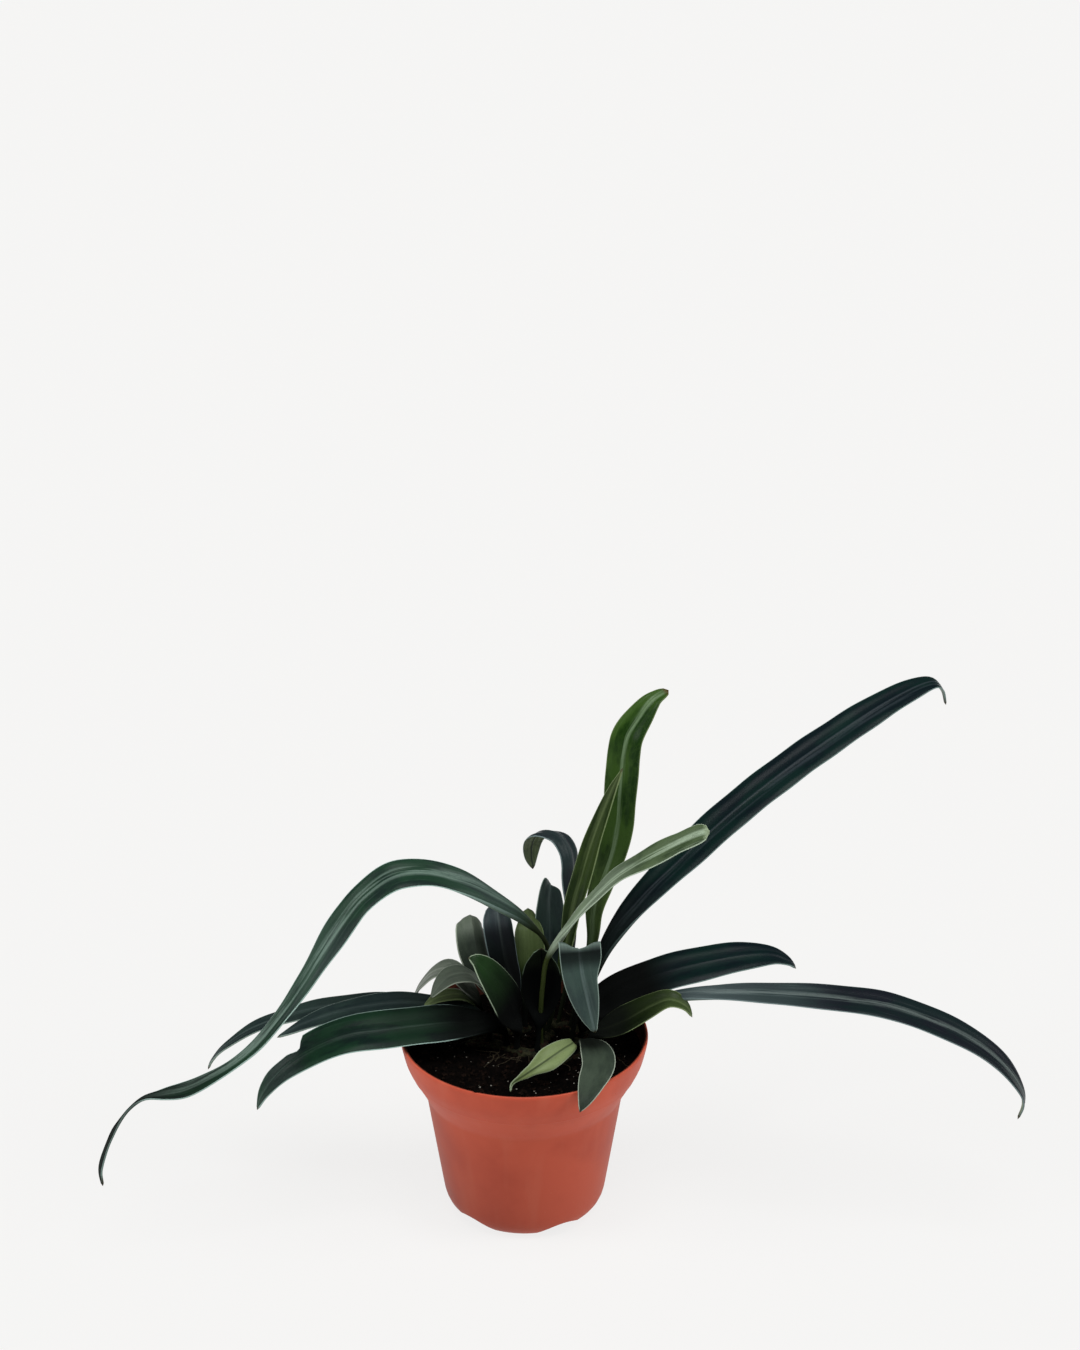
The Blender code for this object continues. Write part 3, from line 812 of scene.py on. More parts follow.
@dataclass
class Line:
    """A smooth line in space that knows its side and up direction at every point."""

    points: np.ndarray
    side: np.ndarray
    up: np.ndarray
    length: float
    fine_steps: ClassVar[int] = 24      # steps between two knots while the curve is measured
    fewest_rows: ClassVar[int] = 8

    @classmethod
    def through(cls, knots: Sequence[Sequence[float]], spacing: float, across: Sequence[float],
                rolls: Stops = ((0.0, 0.0),)) -> "Line":
        """A line through knots.

        Args:
            knots: Points in millimetres.
            spacing: Distance between the line's points.
            across: Direction that the side starts from.
            rolls: (share of the length, degrees) turns about the line.

        Returns:
            The line.
        """
        k = np.array([np.array(p, float) for p in knots])
        k = np.vstack([2 * k[0] - k[1], k, 2 * k[-1] - k[-2]])
        t = np.linspace(0, 1, cls.fine_steps, endpoint=False)[:, None]
        fine = [0.5 * (2 * b + (c - a) * t + (2 * a - 5 * b + 4 * c - d) * t ** 2
                       + (3 * b - a - 3 * c + d) * t ** 3)
                for a, b, c, d in zip(k, k[1:], k[2:], k[3:])]
        fine = np.vstack([*fine, k[-2][None]])
        run = np.concatenate([[0], np.cumsum(np.linalg.norm(np.diff(fine, axis=0), axis=1))])
        count = max(cls.fewest_rows, round(run[-1] / spacing))
        goal = np.linspace(0, run[-1], count + 1)
        points = np.stack([np.interp(goal, run, fine[:, i]) for i in range(3)], axis=1)
        along = np.gradient(points, axis=0)
        along /= np.linalg.norm(along, axis=1)[:, None]
        side = np.array(across, float) - along * (along @ np.array(across, float))[:, None]
        side /= np.linalg.norm(side, axis=1)[:, None]
        up = np.cross(along, side)
        turn = np.radians(eased(goal / run[-1], rolls))[:, None]
        side, up = (side * np.cos(turn) + up * np.sin(turn),
                    up * np.cos(turn) - side * np.sin(turn))
        return cls(points, side, up, run[-1])

    def at(self, share: np.ndarray) -> tuple[np.ndarray, ...]:
        """Point, side and up at shares of the length."""
        own = np.linspace(0, 1, len(self.points))
        return tuple(np.stack([np.interp(share, own, rows[:, i]) for i in range(3)], axis=1)
                     for rows in (self.points, self.side, self.up))


def rod(name: str, line: Line, sides: int,
        radius: Callable[[np.ndarray, np.ndarray], np.ndarray]) -> bpy.types.Object:
    """Roll a grid into a closed rod along a line.

    Args:
        name: The rod's name.
        line: The line that it follows.
        sides: Faces around it.
        radius: Radius in millimetres for shares of the length and turns in radians.

    Returns:
        The rod.
    """
    piece, around, share = grid(name, sides, len(line.points) - 1)
    turn = around * 2 * math.pi
    centre, side, up = line.at(share)
    size = radius(share, turn)[:, None]
    lay(piece, centre + (side * np.cos(turn)[:, None] + up * np.sin(turn)[:, None]) * size)
    closed(piece)
    return piece


# ---- pot ---------------------------------------------------------------------------------
@dataclass
class Pot:
    """Thin-walled nursery pot: flared collar over a shoulder, five drain channels in the foot.

    The profiles are (radius, height) pairs, the lip, collar and body from the top down and
    the cavity from the floor up.
    """

    wall: float = 1.3
    segments: int = 144
    channels: int = 5
    channel_radius: float = 22.0
    channel_lift: float = 6.4
    channel_edge: float = 35.0
    channel_start: float = 13.0
    channel_turn: float = 11.0
    rod_length: float = 100.0
    rod_ahead: float = 20.0
    rod_sides: int = 96
    drain_radius: float = 3.5
    drain_reach: float = 27.0
    drain_height: float = 3.0
    drain_depth: float = 14.0
    drain_sides: int = 32
    inner_skin: float = 0.12
    lip: Route = ((58.5, 94.0), (58.8, 94.35), (59.4, 94.4), (59.85, 94.1), (60.0, 93.5),
                  (60.0, 92.9), (59.9, 92.1), (59.6, 90.6))
    collar: Route = ((59.15, 88.5), (58.6, 86.0), (57.8, 83.0), (56.6, 80.0), (55.25, 77.2),
                     (55.08, 76.7), (54.66, 76.4), (54.40, 75.8),
                     (52.6, 72.5), (50.6, 68.8), (49.2, 66.0), (48.45, 64.7))
    body: Route = ((48.2, 64.0), (47.95, 63.3), (47.8, 62.5), (46.95, 56.8),
                   (46.0, 50.6), (43.6, 35.0), (40.2, 13.0),
                   (39.8, 10.6), (39.2, 8.3), (38.2, 6.0), (36.9, 4.2), (35.4, 2.6),
                   (33.6, 1.4), (31.6, 0.4), (29.5, 0.0))
    cavity: Route = ((29.3, 1.8), (32.9, 3.0), (35.7, 5.4), (37.9, 9.0), (38.9, 13.2),
                     (45.8, 57.0), (46.6, 63.2), (47.8, 66.2), (51.3, 73.0), (55.2, 80.0),
                     (57.2, 86.0), (57.9, 90.5), (58.5, 94.0), (58.5, 97.0))

    def turned(self, name: str, profile: Route) -> bpy.types.Object:
        """Raise a round solid from a disc by extruding it ring after ring.

        Args:
            name: The solid's name.
            profile: (radius, height) of each ring, from the foot up.

        Returns:
            The closed solid.
        """
        deselect()
        radius, height = profile[0]
        bpy.ops.mesh.primitive_circle_add(vertices=self.segments, radius=radius * MM,
                                          fill_type="NGON", location=(0, 0, height * MM))
        solid = added(name)
        apply_place(solid)
        bpy.ops.object.mode_set(mode="EDIT")
        bpy.ops.mesh.select_all(action="SELECT")
        for (old, low), (new, high) in zip(profile, profile[1:]):
            bpy.ops.mesh.extrude_region_move(
                TRANSFORM_OT_translate={"value": (0, 0, (high - low) * MM)})
            bpy.ops.transform.resize(value=(new / old, new / old, 1),
                                     center_override=(0, 0, high * MM))
        bpy.ops.mesh.select_all(action="SELECT")
        bpy.ops.mesh.normals_make_consistent(inside=False)
        bpy.ops.object.mode_set(mode="OBJECT")
        return solid

    def channel(self, turn: float, grow: float) -> bpy.types.Object:
        """A tilted rod that hollows one drain channel.

        Args:
            turn: Direction of the channel in radians.
            grow: Added to the rod's radius.

        Returns:
            The rod.
        """
        tilt = math.atan2(self.channel_lift, self.channel_edge - self.channel_start)
        out = Vector((math.cos(turn), math.sin(turn), 0))
        along = out * math.cos(tilt) + Vector((0, 0, math.sin(tilt)))
        start = out * self.channel_start - Vector((0, 0, self.channel_radius / math.cos(tilt)))
        deselect()
        bpy.ops.mesh.primitive_cylinder_add(
            vertices=self.rod_sides, radius=(self.channel_radius + grow) * MM,
            depth=self.rod_length * MM, location=(start + along * self.rod_ahead) * MM,
            rotation=along.to_track_quat("Z", "Y").to_euler())
        return added("channel_rod")

    def drain(self, turn: float) -> bpy.types.Object:
        """A drill for one drain hole.

        Args:
            turn: Direction of the hole in radians.

        Returns:
            The drill.
        """
        deselect()
        bpy.ops.mesh.primitive_cylinder_add(
            vertices=self.drain_sides, radius=self.drain_radius * MM, depth=self.drain_depth * MM,
            location=(self.drain_reach * math.cos(turn) * MM,
                      self.drain_reach * math.sin(turn) * MM, self.drain_height * MM))
        return added("drain_bit")

    def mark_inside(self, shell: bpy.types.Object) -> None:
        """Store 1 at the shell's vertices on the cavity's wall and 0 outside it.

        Args:
            shell: The finished shell.
        """
        flat = np.empty(len(shell.data.vertices) * 3)
        shell.data.vertices.foreach_get("co", flat)
        x, y, z = flat.reshape(-1, 3).T / MM
        radii, heights = zip(*self.cavity)
        inside = np.hypot(x, y) < np.interp(z, heights, radii) + self.inner_skin
        carry(shell, "inside", np.repeat(inside[:, None], 3, axis=1))

    def build(self) -> bpy.types.Object:
        """Turn the shell, press the channels in, drill the drains and dress it.

        Returns:
            The pot.
        """
        outside = tuple(reversed(self.lip + self.collar + self.body))
        shell = self.turned("pot_shell", outside)
        hollow = self.turned("pot_hollow", self.cavity)
        turns = [math.radians(self.channel_turn + 360 / self.channels * k)
                 for k in range(self.channels)]
        for turn in turns:
            cut(hollow, self.channel(turn, self.wall))
            cut(shell, self.channel(turn, 0.0))
        cut(shell, hollow)
        for turn in turns:
            cut(shell, self.drain(turn))
        soften(shell, 32.0)
        self.mark_inside(shell)
        return dressed(shell, PLASTIC.material("terracotta_plastic"), PLASTIC.slot, "pot")


# ---- potting mix -------------------------------------------------------------------------
@dataclass
class PottingMix:
    """Crust of peat over the soil solid, with crumbs, perlite, fibres and fine roots."""

    top: float = 84.0
    uneven: float = 1.1
    uneven_reach: float = 54.0     # radius beyond which the soil is level
    calm_run: float = 10.0         # width of the ring in which it levels out
    radius: float = 56.6
    cover: float = 0.9
    thickness: float = 2.2
    faces_across: int = 130
    crumbs: int = 620
    crumb_reach: float = 54.0
    crumb_size: Pair = (0.7, 2.4)
    lip_crumb: Point = (59.0, 248.0, 94.7)      # radius, degrees, height
    specks: int = 100
    speck_reach: float = 53.0
    speck_size: Pair = (0.35, 1.0)
    heaped_specks: int = 16        # more of them, in a heap at the front
    speck_heap: Pair = (15.0, -30.0)
    speck_spread: Pair = (9.0, 6.0)
    fibres: int = 70
    roots: int = 18
    heaped_roots: float = 0.6      # share of the roots that lie in a heap
    root_heap: Pair = (-9.0, -6.0)
    root_spread: Pair = (6.0, 3.0)
    strand_reach: float = 50.0
    strand_knots: int = 5
    strand_turn: float = 0.65      # most that a strand turns at a knot, in radians
    strand_taper: float = 0.55     # share of its radius that it loses toward its end
    strand_sides: int = 6
    draw: random.Random = field(default_factory=lambda: random.Random(21))

    def solid_height(self, x: float, y: float) -> float:
        """Top of the soil solid at a place."""
        calm = min(1.0, max(0.0, (self.uneven_reach - math.hypot(x, y)) / self.calm_run))
        return self.top + self.uneven * calm * noise.noise(Vector((x * 0.09, y * 0.09, 3.7)))

    def height(self, x: float, y: float) -> float:
        """Top of the crust at a place: the solid's top with lumps on it.

        Args:
            x: Place across.
            y: Place from front to back.

        Returns:
            The height in millimetres.
        """
        lumps = 0.9 * noise.noise(Vector((x * 0.33, y * 0.33, 1.1)))
        lumps += 0.65 * abs(noise.noise(Vector((x * 0.8, y * 0.8, 8.2))))
        lumps += 0.35 * noise.noise(Vector((x * 1.9, y * 1.9, 4.4)))
        return self.solid_height(x, y) + self.cover + lumps

    def spot(self, reach: float) -> Pair:
        """A random place on the mix.

        Args:
            reach: Greatest distance from the middle.

        Returns:
            The place across, and from front to back.
        """
        distance = reach * math.sqrt(self.draw.random())
        turn = self.draw.uniform(0, 2 * math.pi)
        return distance * math.cos(turn), distance * math.sin(turn)

    def heaped(self, middle: Pair, spread: Pair) -> Pair:
        """A random place in a heap about its middle."""
        return self.draw.gauss(middle[0], spread[0]), self.draw.gauss(middle[1], spread[1])

    def resting(self, x: float, y: float, size: float, stand: float) -> Matrix:
        """Where a loose grain lies, with a random turn and squash.

        Args:
            x: Place across.
            y: Place from front to back.
            size: Scale of the grain.
            stand: Share of its size that its middle stands above the crust.

        Returns:
            The grain's place.
        """
        turn = Matrix.Rotation(self.draw.uniform(0, 6.28), 4, "Z")
        tip = Matrix.Rotation(self.draw.uniform(-0.6, 0.6), 4, "X")
        squash = Matrix.Diagonal((size * self.draw.uniform(0.7, 1.5),
                                  size * self.draw.uniform(0.6, 1.1),
                                  size * self.draw.uniform(0.45, 0.9), 1.0))
        return Matrix.Translation((x, y, self.height(x, y) + size * stand)) @ turn @ tip @ squash

    def grain(self, name: str, bumps: float) -> bpy.types.Object:
        """One rough grain, a unit across.

        Args:
            name: The grain's name.
            bumps: How rough it is.

        Returns:
            The grain.
        """
        deselect()
        bpy.ops.mesh.primitive_ico_sphere_add(subdivisions=2, radius=0.5)
        grain = added(name)
        for vertex in grain.data.vertices:
            push = noise.noise(vertex.co * 3.1 + Vector((bumps * 9, 2, 5)))
            vertex.co *= 1 + bumps * push
        grain.data.update()
        return grain

    def build_crust(self) -> bpy.types.Object:
        """Lay a grid over the soil as a lumpy disc and give it thickness.

        Returns:
            The crust.
        """
        crust, across, along = grid("soil_crust", self.faces_across, self.faces_across)
        x, y = across * 2 - 1, along * 2 - 1
        px = x * np.sqrt(1 - y * y / 2) * self.radius
        py = y * np.sqrt(1 - x * x / 2) * self.radius
        pz = [self.height(a, b) for a, b in zip(px, py)]
        lay(crust, np.stack([px, py, pz], axis=1))
        thicken(crust, self.thickness * MM, -1.0)
        soften(crust, 60.0)
        return dressed(crust, PEAT.material("peat_crust"), PEAT.slot)

    def build_grains(self) -> None:
        """Scatter peat and bark crumbs, one of them on the pot's lip, and white perlite."""
        spots = [self.spot(self.crumb_reach) for _ in range(self.crumbs)]
        crumbs = [self.resting(x, y, self.draw.uniform(*self.crumb_size) ** 1.15, 0.12)
                  for x, y in spots]
        radius, degrees, height = self.lip_crumb
        turn = math.radians(degrees)
        lip = Matrix.Translation((radius * math.cos(turn), radius * math.sin(turn), height))
        crumbs.append(lip @ Matrix.Diagonal((2.2, 1.3, 1.1, 1)))
        spots = [self.spot(self.speck_reach) for _ in range(self.specks)]
        spots += [self.heaped(self.speck_heap, self.speck_spread)
                  for _ in range(self.heaped_specks)]
        specks = [self.resting(x, y, self.draw.uniform(*self.speck_size), 0.25)
                  for x, y in spots]
        for name, bumps, places, look, finish in (("bark_crumbs", 0.9, crumbs, "bark", BARK),
                                                  ("perlite", 0.5, specks, "perlite", PERLITE)):
            grains = copies(name, self.grain(name + "_grain", bumps), places)
            soften(grains, 50.0)
            dressed(grains, finish.material(look), finish.slot)

    def strand(self, name: str, start: Vector, heading: float, length: float,
               radius: float) -> bpy.types.Object:
        """One thin root or fibre that wanders over the crust.

        Args:
            name: The strand's name.
            start: Where it leaves, in millimetres.
            heading: Its first direction in radians.
            length: Its length.
            radius: Its thickest radius.

        Returns:
            The strand.
        """
        knots, spot, turn = [tuple(start)], start.copy(), heading
        for _ in range(self.strand_knots):
            turn += self.draw.uniform(-self.strand_turn, self.strand_turn)
            step = Vector((math.cos(turn), math.sin(turn), 0)) * length / self.strand_knots
            spot = spot + step
            ground = self.height(spot.x, spot.y) + radius * 0.7
            spot.z += (ground + self.draw.uniform(-0.2, 0.5) - spot.z) * 0.7
            knots.append(tuple(spot))
        knots[-1] = (*knots[-1][:2], self.height(*knots[-1][:2]) - 0.8)
        return rod(name, Line.through(knots, 0.9, (0.3, 0.2, 1)), self.strand_sides,
                   lambda share, turn: radius * (1 - self.strand_taper * share))

    def build_strands(self) -> None:
        """Join brown fibres and paler fine roots, each group into one piece."""
        groups = (("peat_fibres", BARK, self.fibres, 0.14, (4, 9), 0.0),
                  ("fine_roots", ROOT, self.roots, 0.30, (8, 17), self.heaped_roots))
        for name, finish, count, radius, lengths, heaped in groups:
            made = []
            for number in range(count):
                x, y = self.spot(self.strand_reach)
                if number < count * heaped:
                    x, y = self.heaped(self.root_heap, self.root_spread)
                start = Vector((x, y, self.height(x, y) + 0.3))
                made.append(self.strand(f"{name}_{number}", start, self.draw.uniform(0, 6.28),
                                        self.draw.uniform(*lengths),
                                        radius * self.draw.uniform(0.7, 1.2)))
            joined = join(name, made)
            soften(joined, 60.0)
            dressed(joined, finish.material(name), finish.slot)

    def build(self) -> None:
        """Build the crust and all that lies on it, and dress the soil solid."""
        material = PEAT.material("peat")
        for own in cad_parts["soil"].material_slots:
            own.material = material
        self.build_crust()
        self.build_grains()
        self.build_strands()


# ---- rhizomes ----------------------------------------------------------------------------
@dataclass
class Rhizome:
    """Creeping stem half sunk in the mix, knobbly and set with papery scales."""

    node: str
    route: Route
    radius: float = 3.2
    centre: float = 84.6
    dip: float = 2.0
    sides: int = 28
    rounding: float = 4.5          # length of each rounded end
    joint_gap: float = 7.3         # from one swollen joint to the next
    swelling: float = 0.05         # share of the radius that a joint swells
    wrinkles: float = 0.07         # share of the radius that the skin is rough
    scales_each: float = 0.9       # scales on a millimetre of stem
    scales_ahead: float = 0.8      # share of them that point to the stem's tip
    scale_length: float = 2.8
    scale_width: float = 1.5
    scale_thickness: float = 0.12

    def line(self) -> Line:
        """The midline, level on the mix with both ends dipping into it.

        Returns:
            The midline.
        """
        knots = [(x, y, self.centre) for x, y in self.route]
        for end in (0, -1):
            knots[end] = (*knots[end][:2], self.centre - self.dip)
        return Line.through(knots, 0.8, (0, 0, 1))

    def girth(self, share: np.ndarray, turn: np.ndarray, line: Line) -> np.ndarray:
        """Radius with swollen joints, wrinkles and rounded ends.

        Args:
            share: Shares of the length.
            turn: Turns about the midline in radians.
            line: The midline.

        Returns:
            Radii in millimetres.
        """
        along = share * line.length
        ends = np.minimum(along, line.length - along)
        taper = np.sqrt(np.clip(1 - (1 - np.clip(ends / self.rounding, 0, 1)) ** 2, 0.0, 1))
        swell = 1 + self.swelling * np.sin(along * 2 * math.pi / self.joint_gap)
        rough = np.array([noise.noise(Vector((a * 0.5, math.cos(t) * 1.3, math.sin(t) * 1.3)))
                          for a, t in zip(along, turn)])
        return self.radius * taper * swell * (1 + self.wrinkles * rough)

    def scale(self) -> bpy.types.Object:
        """One papery scale, a millimetre to the unit: a cupped, pointed flake along +X.

        Returns:
            The scale.
        """
        flake, across, along = grid("scale", 4, 5)
        half = self.scale_width / 2 * np.sin(np.clip(1 - along, 0, 1) ** 0.7
                                             * math.pi * 0.93) ** 0.8
        side = (across - 0.5) * 2
        lift = 0.10 + 0.75 * along ** 1.6 - 0.35 * side ** 2
        lay(flake, np.stack([along * self.scale_length, side * half, lift], axis=1) / MM)
        thicken(flake, self.scale_thickness, 0.0)
        return flake

    def scale_places(self, line: Line) -> list[Matrix]:
        """Where the scales lie: mostly on the stem's upper half and pointing to its tip.

        Args:
            line: The midline.

        Returns:
            A place for each scale.
        """
        draw = random.Random(self.node)
        places = []
        for _ in range(round(line.length * self.scales_each)):
            share = draw.uniform(0.03, 0.97)
            centre, side, up = (rows[0] for rows in line.at(np.array([share])))
            ahead = line.at(np.array([min(1, share + 0.01)]))[0][0] - centre
            turn = draw.gauss(0, 1.0)
            out = Vector(side * math.cos(turn) + up * math.sin(turn))
            size = self.radius * min(1.0, 4 * min(share, 1 - share) ** 0.5)
            forward = Vector(ahead).normalized() * (1 if draw.random() < self.scales_ahead else -1)
            sideways = out.cross(forward).normalized()
            axes = Matrix((forward, sideways, out)).transposed().to_4x4()
            spin = Matrix.Rotation(draw.uniform(-0.6, 0.6), 4, "Z")
            grow = Matrix.Scale(draw.uniform(0.7, 1.2), 4)
            places.append(Matrix.Translation(Vector(centre) + out * size * 0.96)
                          @ axes @ spin @ grow)
        return places

    def build(self) -> None:
        """Build the stem and its scales."""
        line = self.line()
        stem = rod(self.node + "_stem", line, self.sides,
                   lambda share, turn: self.girth(share, turn, line))
        soften(stem, 60.0)
        dressed(stem, RHIZOME_SKIN.material(self.node + "_skin"), RHIZOME_SKIN.slot, self.node)
        scales = copies(self.node + "_scales", self.scale(), self.scale_places(line))
        soften(scales, 60.0)
        dressed(scales, SCALE.material(self.node + "_scales"), SCALE.slot)


# ---- fronds ------------------------------------------------------------------------------
@dataclass
class Frond:
    """One strap frond: a round stalk that opens into a keeled blade with a midrib.

    Stops are (share of the length, value) pairs. Shares without a unit are of the length.
    """

    name: str
    root: Pair             # x, y of the joint on the rhizome
    heading: float         # degrees from +X toward +Y that the frond leans to
    spine: Route           # midrib points from the joint: (outward, upward, sideways)
    width: float           # full width at the widest place
    stipe: float = 0.12    # share that is bare stalk
    widest: float = 0.55   # share where the blade is widest
    rolls: Stops = ((0.0, 0.0),)   # degrees about the midrib
    fold: float = 9.0      # degrees that each half of the blade rises from flat
    skin: Skin = Skin.NAVY
    narrows: Stops = ()    # factor on the width
    folds: Stops = ()      # degrees, in place of one fold
    left: Stops = ()       # factor on the half to the heading's left
    right: Stops = ()      # the same for the other half
    cleft: float = 0.0     # mm that a notch in the tip reaches back
    blunt: float = 0.0     # share of the width that the tip keeps
    taper: float = 2.4     # how long the blade stays wide past its widest place
    wave: float = 0.35     # mm that the margins wave up and down
    wobble: float = 0.008  # share of the width that the outline swells and narrows
    bow: Stops = ((0.0, 0.05),)    # share of the half width that the margins droop
    rib_and_sheen: float = 1.0    # strength of the paler rib and of its painted sheen band
    reach: float = 2.4     # mm that the painted sheen band runs to either side of its middle
    beside: float = 0.3    # mm to the heading's left of the midrib that the painted sheen band's middle lies
    shade: Stops = ((0.0, 0.9), (0.4, 0.0))   # painted shade: how far the skin is darkened where shade falls
    painted_highlight: Stops = ((0.0, 0.0),)               # painted highlight: how much pale sheen is laid on the skin
    crown: float = 88.1    # height of the joint
    sunk: float = 1.2      # mm that the foot reaches into the rhizome
    around: int = 64
    row_length: float = 1.8
    crowding: float = 0.12         # how much the faces crowd at the midrib and the margins
    joint_radius: float = 1.9
    joint_length: float = 4.0      # length in which the joint narrows to the stalk
    stipe_radius: float = 1.15
    opening: float = 0.15          # share in which the round stalk flattens
    blade_thickness: float = 1.1
    tip_radius: float = 0.45
    tip_length: float = 1.5        # length in which the outline closes at the tip
    tip_round: float = 0.5         # length in which the thickness does
    cleft_width: float = 0.28      # share of the half width
    cleft_length: float = 14.0     # length in which the notch grows
    keel_round: float = 0.05       # share of the half width that the keel is rounded
    ripple: float = 0.018          # share of the half width that the blade ripples
    rib_width: float = 0.55
    rib_heights: Pair = (0.20, -0.45)   # on the upper face and on the lower one
    rib_full: float = 5.0          # half width from which the rib stands at full height
    wobble_run: float = 13.0       # length of a swell divided by 2 pi
    wave_runs: Pair = (4.2, 6.0)   # shortest and longest wave, each divided by 2 pi
    wave_full: float = 6.0         # half width from which the margins wave fully
    face_edge: float = 0.15        # width at the margin where upper skin turns to lower

    def line(self) -> Line:
        """The midrib from the foot in the rhizome to the tip.

        Returns:
            The midrib.
        """
        turn = math.radians(self.heading)
        out = np.array((math.cos(turn), math.sin(turn), 0))
        across = np.array((-math.sin(turn), math.cos(turn), 0))
        root = np.array((*self.root, self.crown))
        knots = [root - np.array((0, 0, self.sunk)), root]
        for point in self.spine:
            sideways = point[2] if len(point) > 2 else 0.0
            knots.append(root + out * point[0] + np.array((0, 0, point[1])) + across * sideways)
        return Line.through(knots, self.row_length, across, self.rolls)

    def half_width(self, share: np.ndarray, length: float) -> np.ndarray:
        """Half width along the frond.

        Args:
            share: Shares of the length.
            length: Length of the frond.

        Returns:
            Half widths in millimetres.
        """
        half = self.width / 2
        foot = np.clip(share * length / self.joint_length, 0, 1)
        stalk = self.joint_radius + (self.stipe_radius - self.joint_radius) * foot
        t = np.clip((share - self.stipe) / (self.widest - self.stipe), 0, 1)
        opening = self.stipe_radius + (half - self.stipe_radius) * np.sin(t * math.pi / 2) ** 0.95
        t = np.clip((share - self.widest) / (1 - self.widest), 0, 1)
        closing = half * np.maximum((1 - t ** self.taper) ** 0.85, self.blunt * (1 - t ** 8) ** 0.5)
        size = np.where(share < self.stipe, stalk, np.where(share < self.widest, opening, closing))
        if self.narrows:
            size = size * eased(share, self.narrows)
        point = np.sqrt(np.clip((1 - share) * length / self.tip_length, 0, 1))
        return np.maximum(size, self.tip_radius * point)

    def outline(self, x: np.ndarray, share: np.ndarray, blade: np.ndarray, length: float,
                draw: random.Random) -> np.ndarray:
        """Half width at every vertex, with each half's own run.

        Args:
            x: Places across, -1 to 1.
            share: Shares of the length.
            blade: 1 on the blade and 0 on the stalk.
            length: Length of the frond.
            draw: The frond's random draws.

        Returns:
            Half widths in millimetres.
        """
        half = self.half_width(share, length)
        swell = np.sin(share * length / self.wobble_run + draw.uniform(0, 6))
        half = half * (1 + self.wobble * blade * swell)
        if self.left:
            half = np.where(x > 0, half * eased(share, self.left), half)
        if self.right:
            half = np.where(x < 0, half * eased(share, self.right), half)
        return half

    def keeled(self, x: np.ndarray, share: np.ndarray, blade: np.ndarray,
               half: np.ndarray) -> np.ndarray:
        """How the blade's halves rise from the midrib, droop at the margins and ripple.

        Args:
            x: Places across, -1 to 1.
            share: Shares of the length.
            blade: 1 on the blade and 0 on the stalk.
            half: Half widths in millimetres.

        Returns:
            Heights in millimetres.
        """
        fold = eased(share, self.folds) if self.folds else np.full_like(share, self.fold)
        keel = np.sqrt(x * x + self.keel_round ** 2) - self.keel_round
        lift = np.tan(np.radians(fold)) * blade * half * (keel - 0.5)
        lift -= eased(share, self.bow) * blade * half * x * x
        return lift + blade * half * self.ripple * np.cos(3 * math.pi * np.abs(x))

    def waves(self, x: np.ndarray, along: np.ndarray, draw: random.Random) -> np.ndarray:
        """How the two margins wave up and down, each with its own run.

        Args:
            x: Places across, -1 to 1.
            along: Millimetres along the frond.
            draw: The frond's random draws.

        Returns:
            Heights in millimetres.
        """
        left, right = (np.sin(along / draw.uniform(*self.wave_runs) + draw.uniform(0, 6))
                       for _ in range(2))
        return self.wave * np.where(x > 0, left, right) * np.abs(x) ** 3

    def build(self) -> bpy.types.Object:
        """Roll a grid into the frond's skin, close it and dress it.

        Returns:
            The frond.
        """
        line = self.line()
        draw = random.Random(self.name)
        piece, around, share = grid(self.name.replace("frond_", "leaf_"), self.around,
                                    len(line.points) - 1)
        step = 1 - 2 * np.abs(2 * around - 1)
        x = step - np.sign(step) * self.crowding * np.sin(2 * math.pi * np.abs(step))
        upper = np.where(around < 0.5, 1.0, -1.0)
        end = rise(share, 1 - self.cleft_length / line.length, 1.0)
        share = share - self.cleft / line.length * np.exp(-(x / self.cleft_width) ** 2) * end
        along = share * line.length
        blade = np.clip((share - self.stipe) / self.opening, 0, 1)
        half = self.outline(x, share, blade, line.length, draw)

        round_end = np.clip((1 - share) * line.length / self.tip_round, 0, 1) ** 0.5
        thick = half * (1 - blade) + self.blade_thickness / 2 * blade
        thick = np.minimum(thick, half) * round_end
        skin = upper * thick * (1 - np.abs(x) ** (2 + 3 * blade)) ** 0.5
        lift = self.keeled(x, share, blade, half)
        rib = np.exp(-(x * half / self.rib_width) ** 2) * blade * round_end
        lift += np.where(upper > 0, *self.rib_heights) * rib * np.minimum(half / self.rib_full, 1.0)
        lift += self.waves(x, along, draw) * blade * np.minimum(half / self.wave_full, 1.0)

        centre, side, up = line.at(share)
        lay(piece, centre + side * (x * half)[:, None] + up * (lift + skin)[:, None])
        face = 0.5 - 0.5 * upper * np.clip((1 - np.abs(x)) * half / self.face_edge, 0, 1)
        carry(piece, "blade", np.stack([x * half, along, share], axis=1))
        carry(piece, "sheet", np.stack([(1 - np.abs(x)) * half, face, blade], axis=1))
        # Painted shade and painted highlight along the frond, for the skin to read.
        carry(piece, "painted_light", np.stack([eased(share, self.shade), eased(share, self.painted_highlight),
                                       np.zeros_like(share)], axis=1))
        closed(piece)
        soften(piece, 80.0)
        finish = self.skin.value
        material = finish.material(piece.name + "_skin", draw.uniform(0, 40), self.rib_and_sheen,
                                   self.reach, self.beside)
        return dressed(piece, material, finish.slot, self.name)


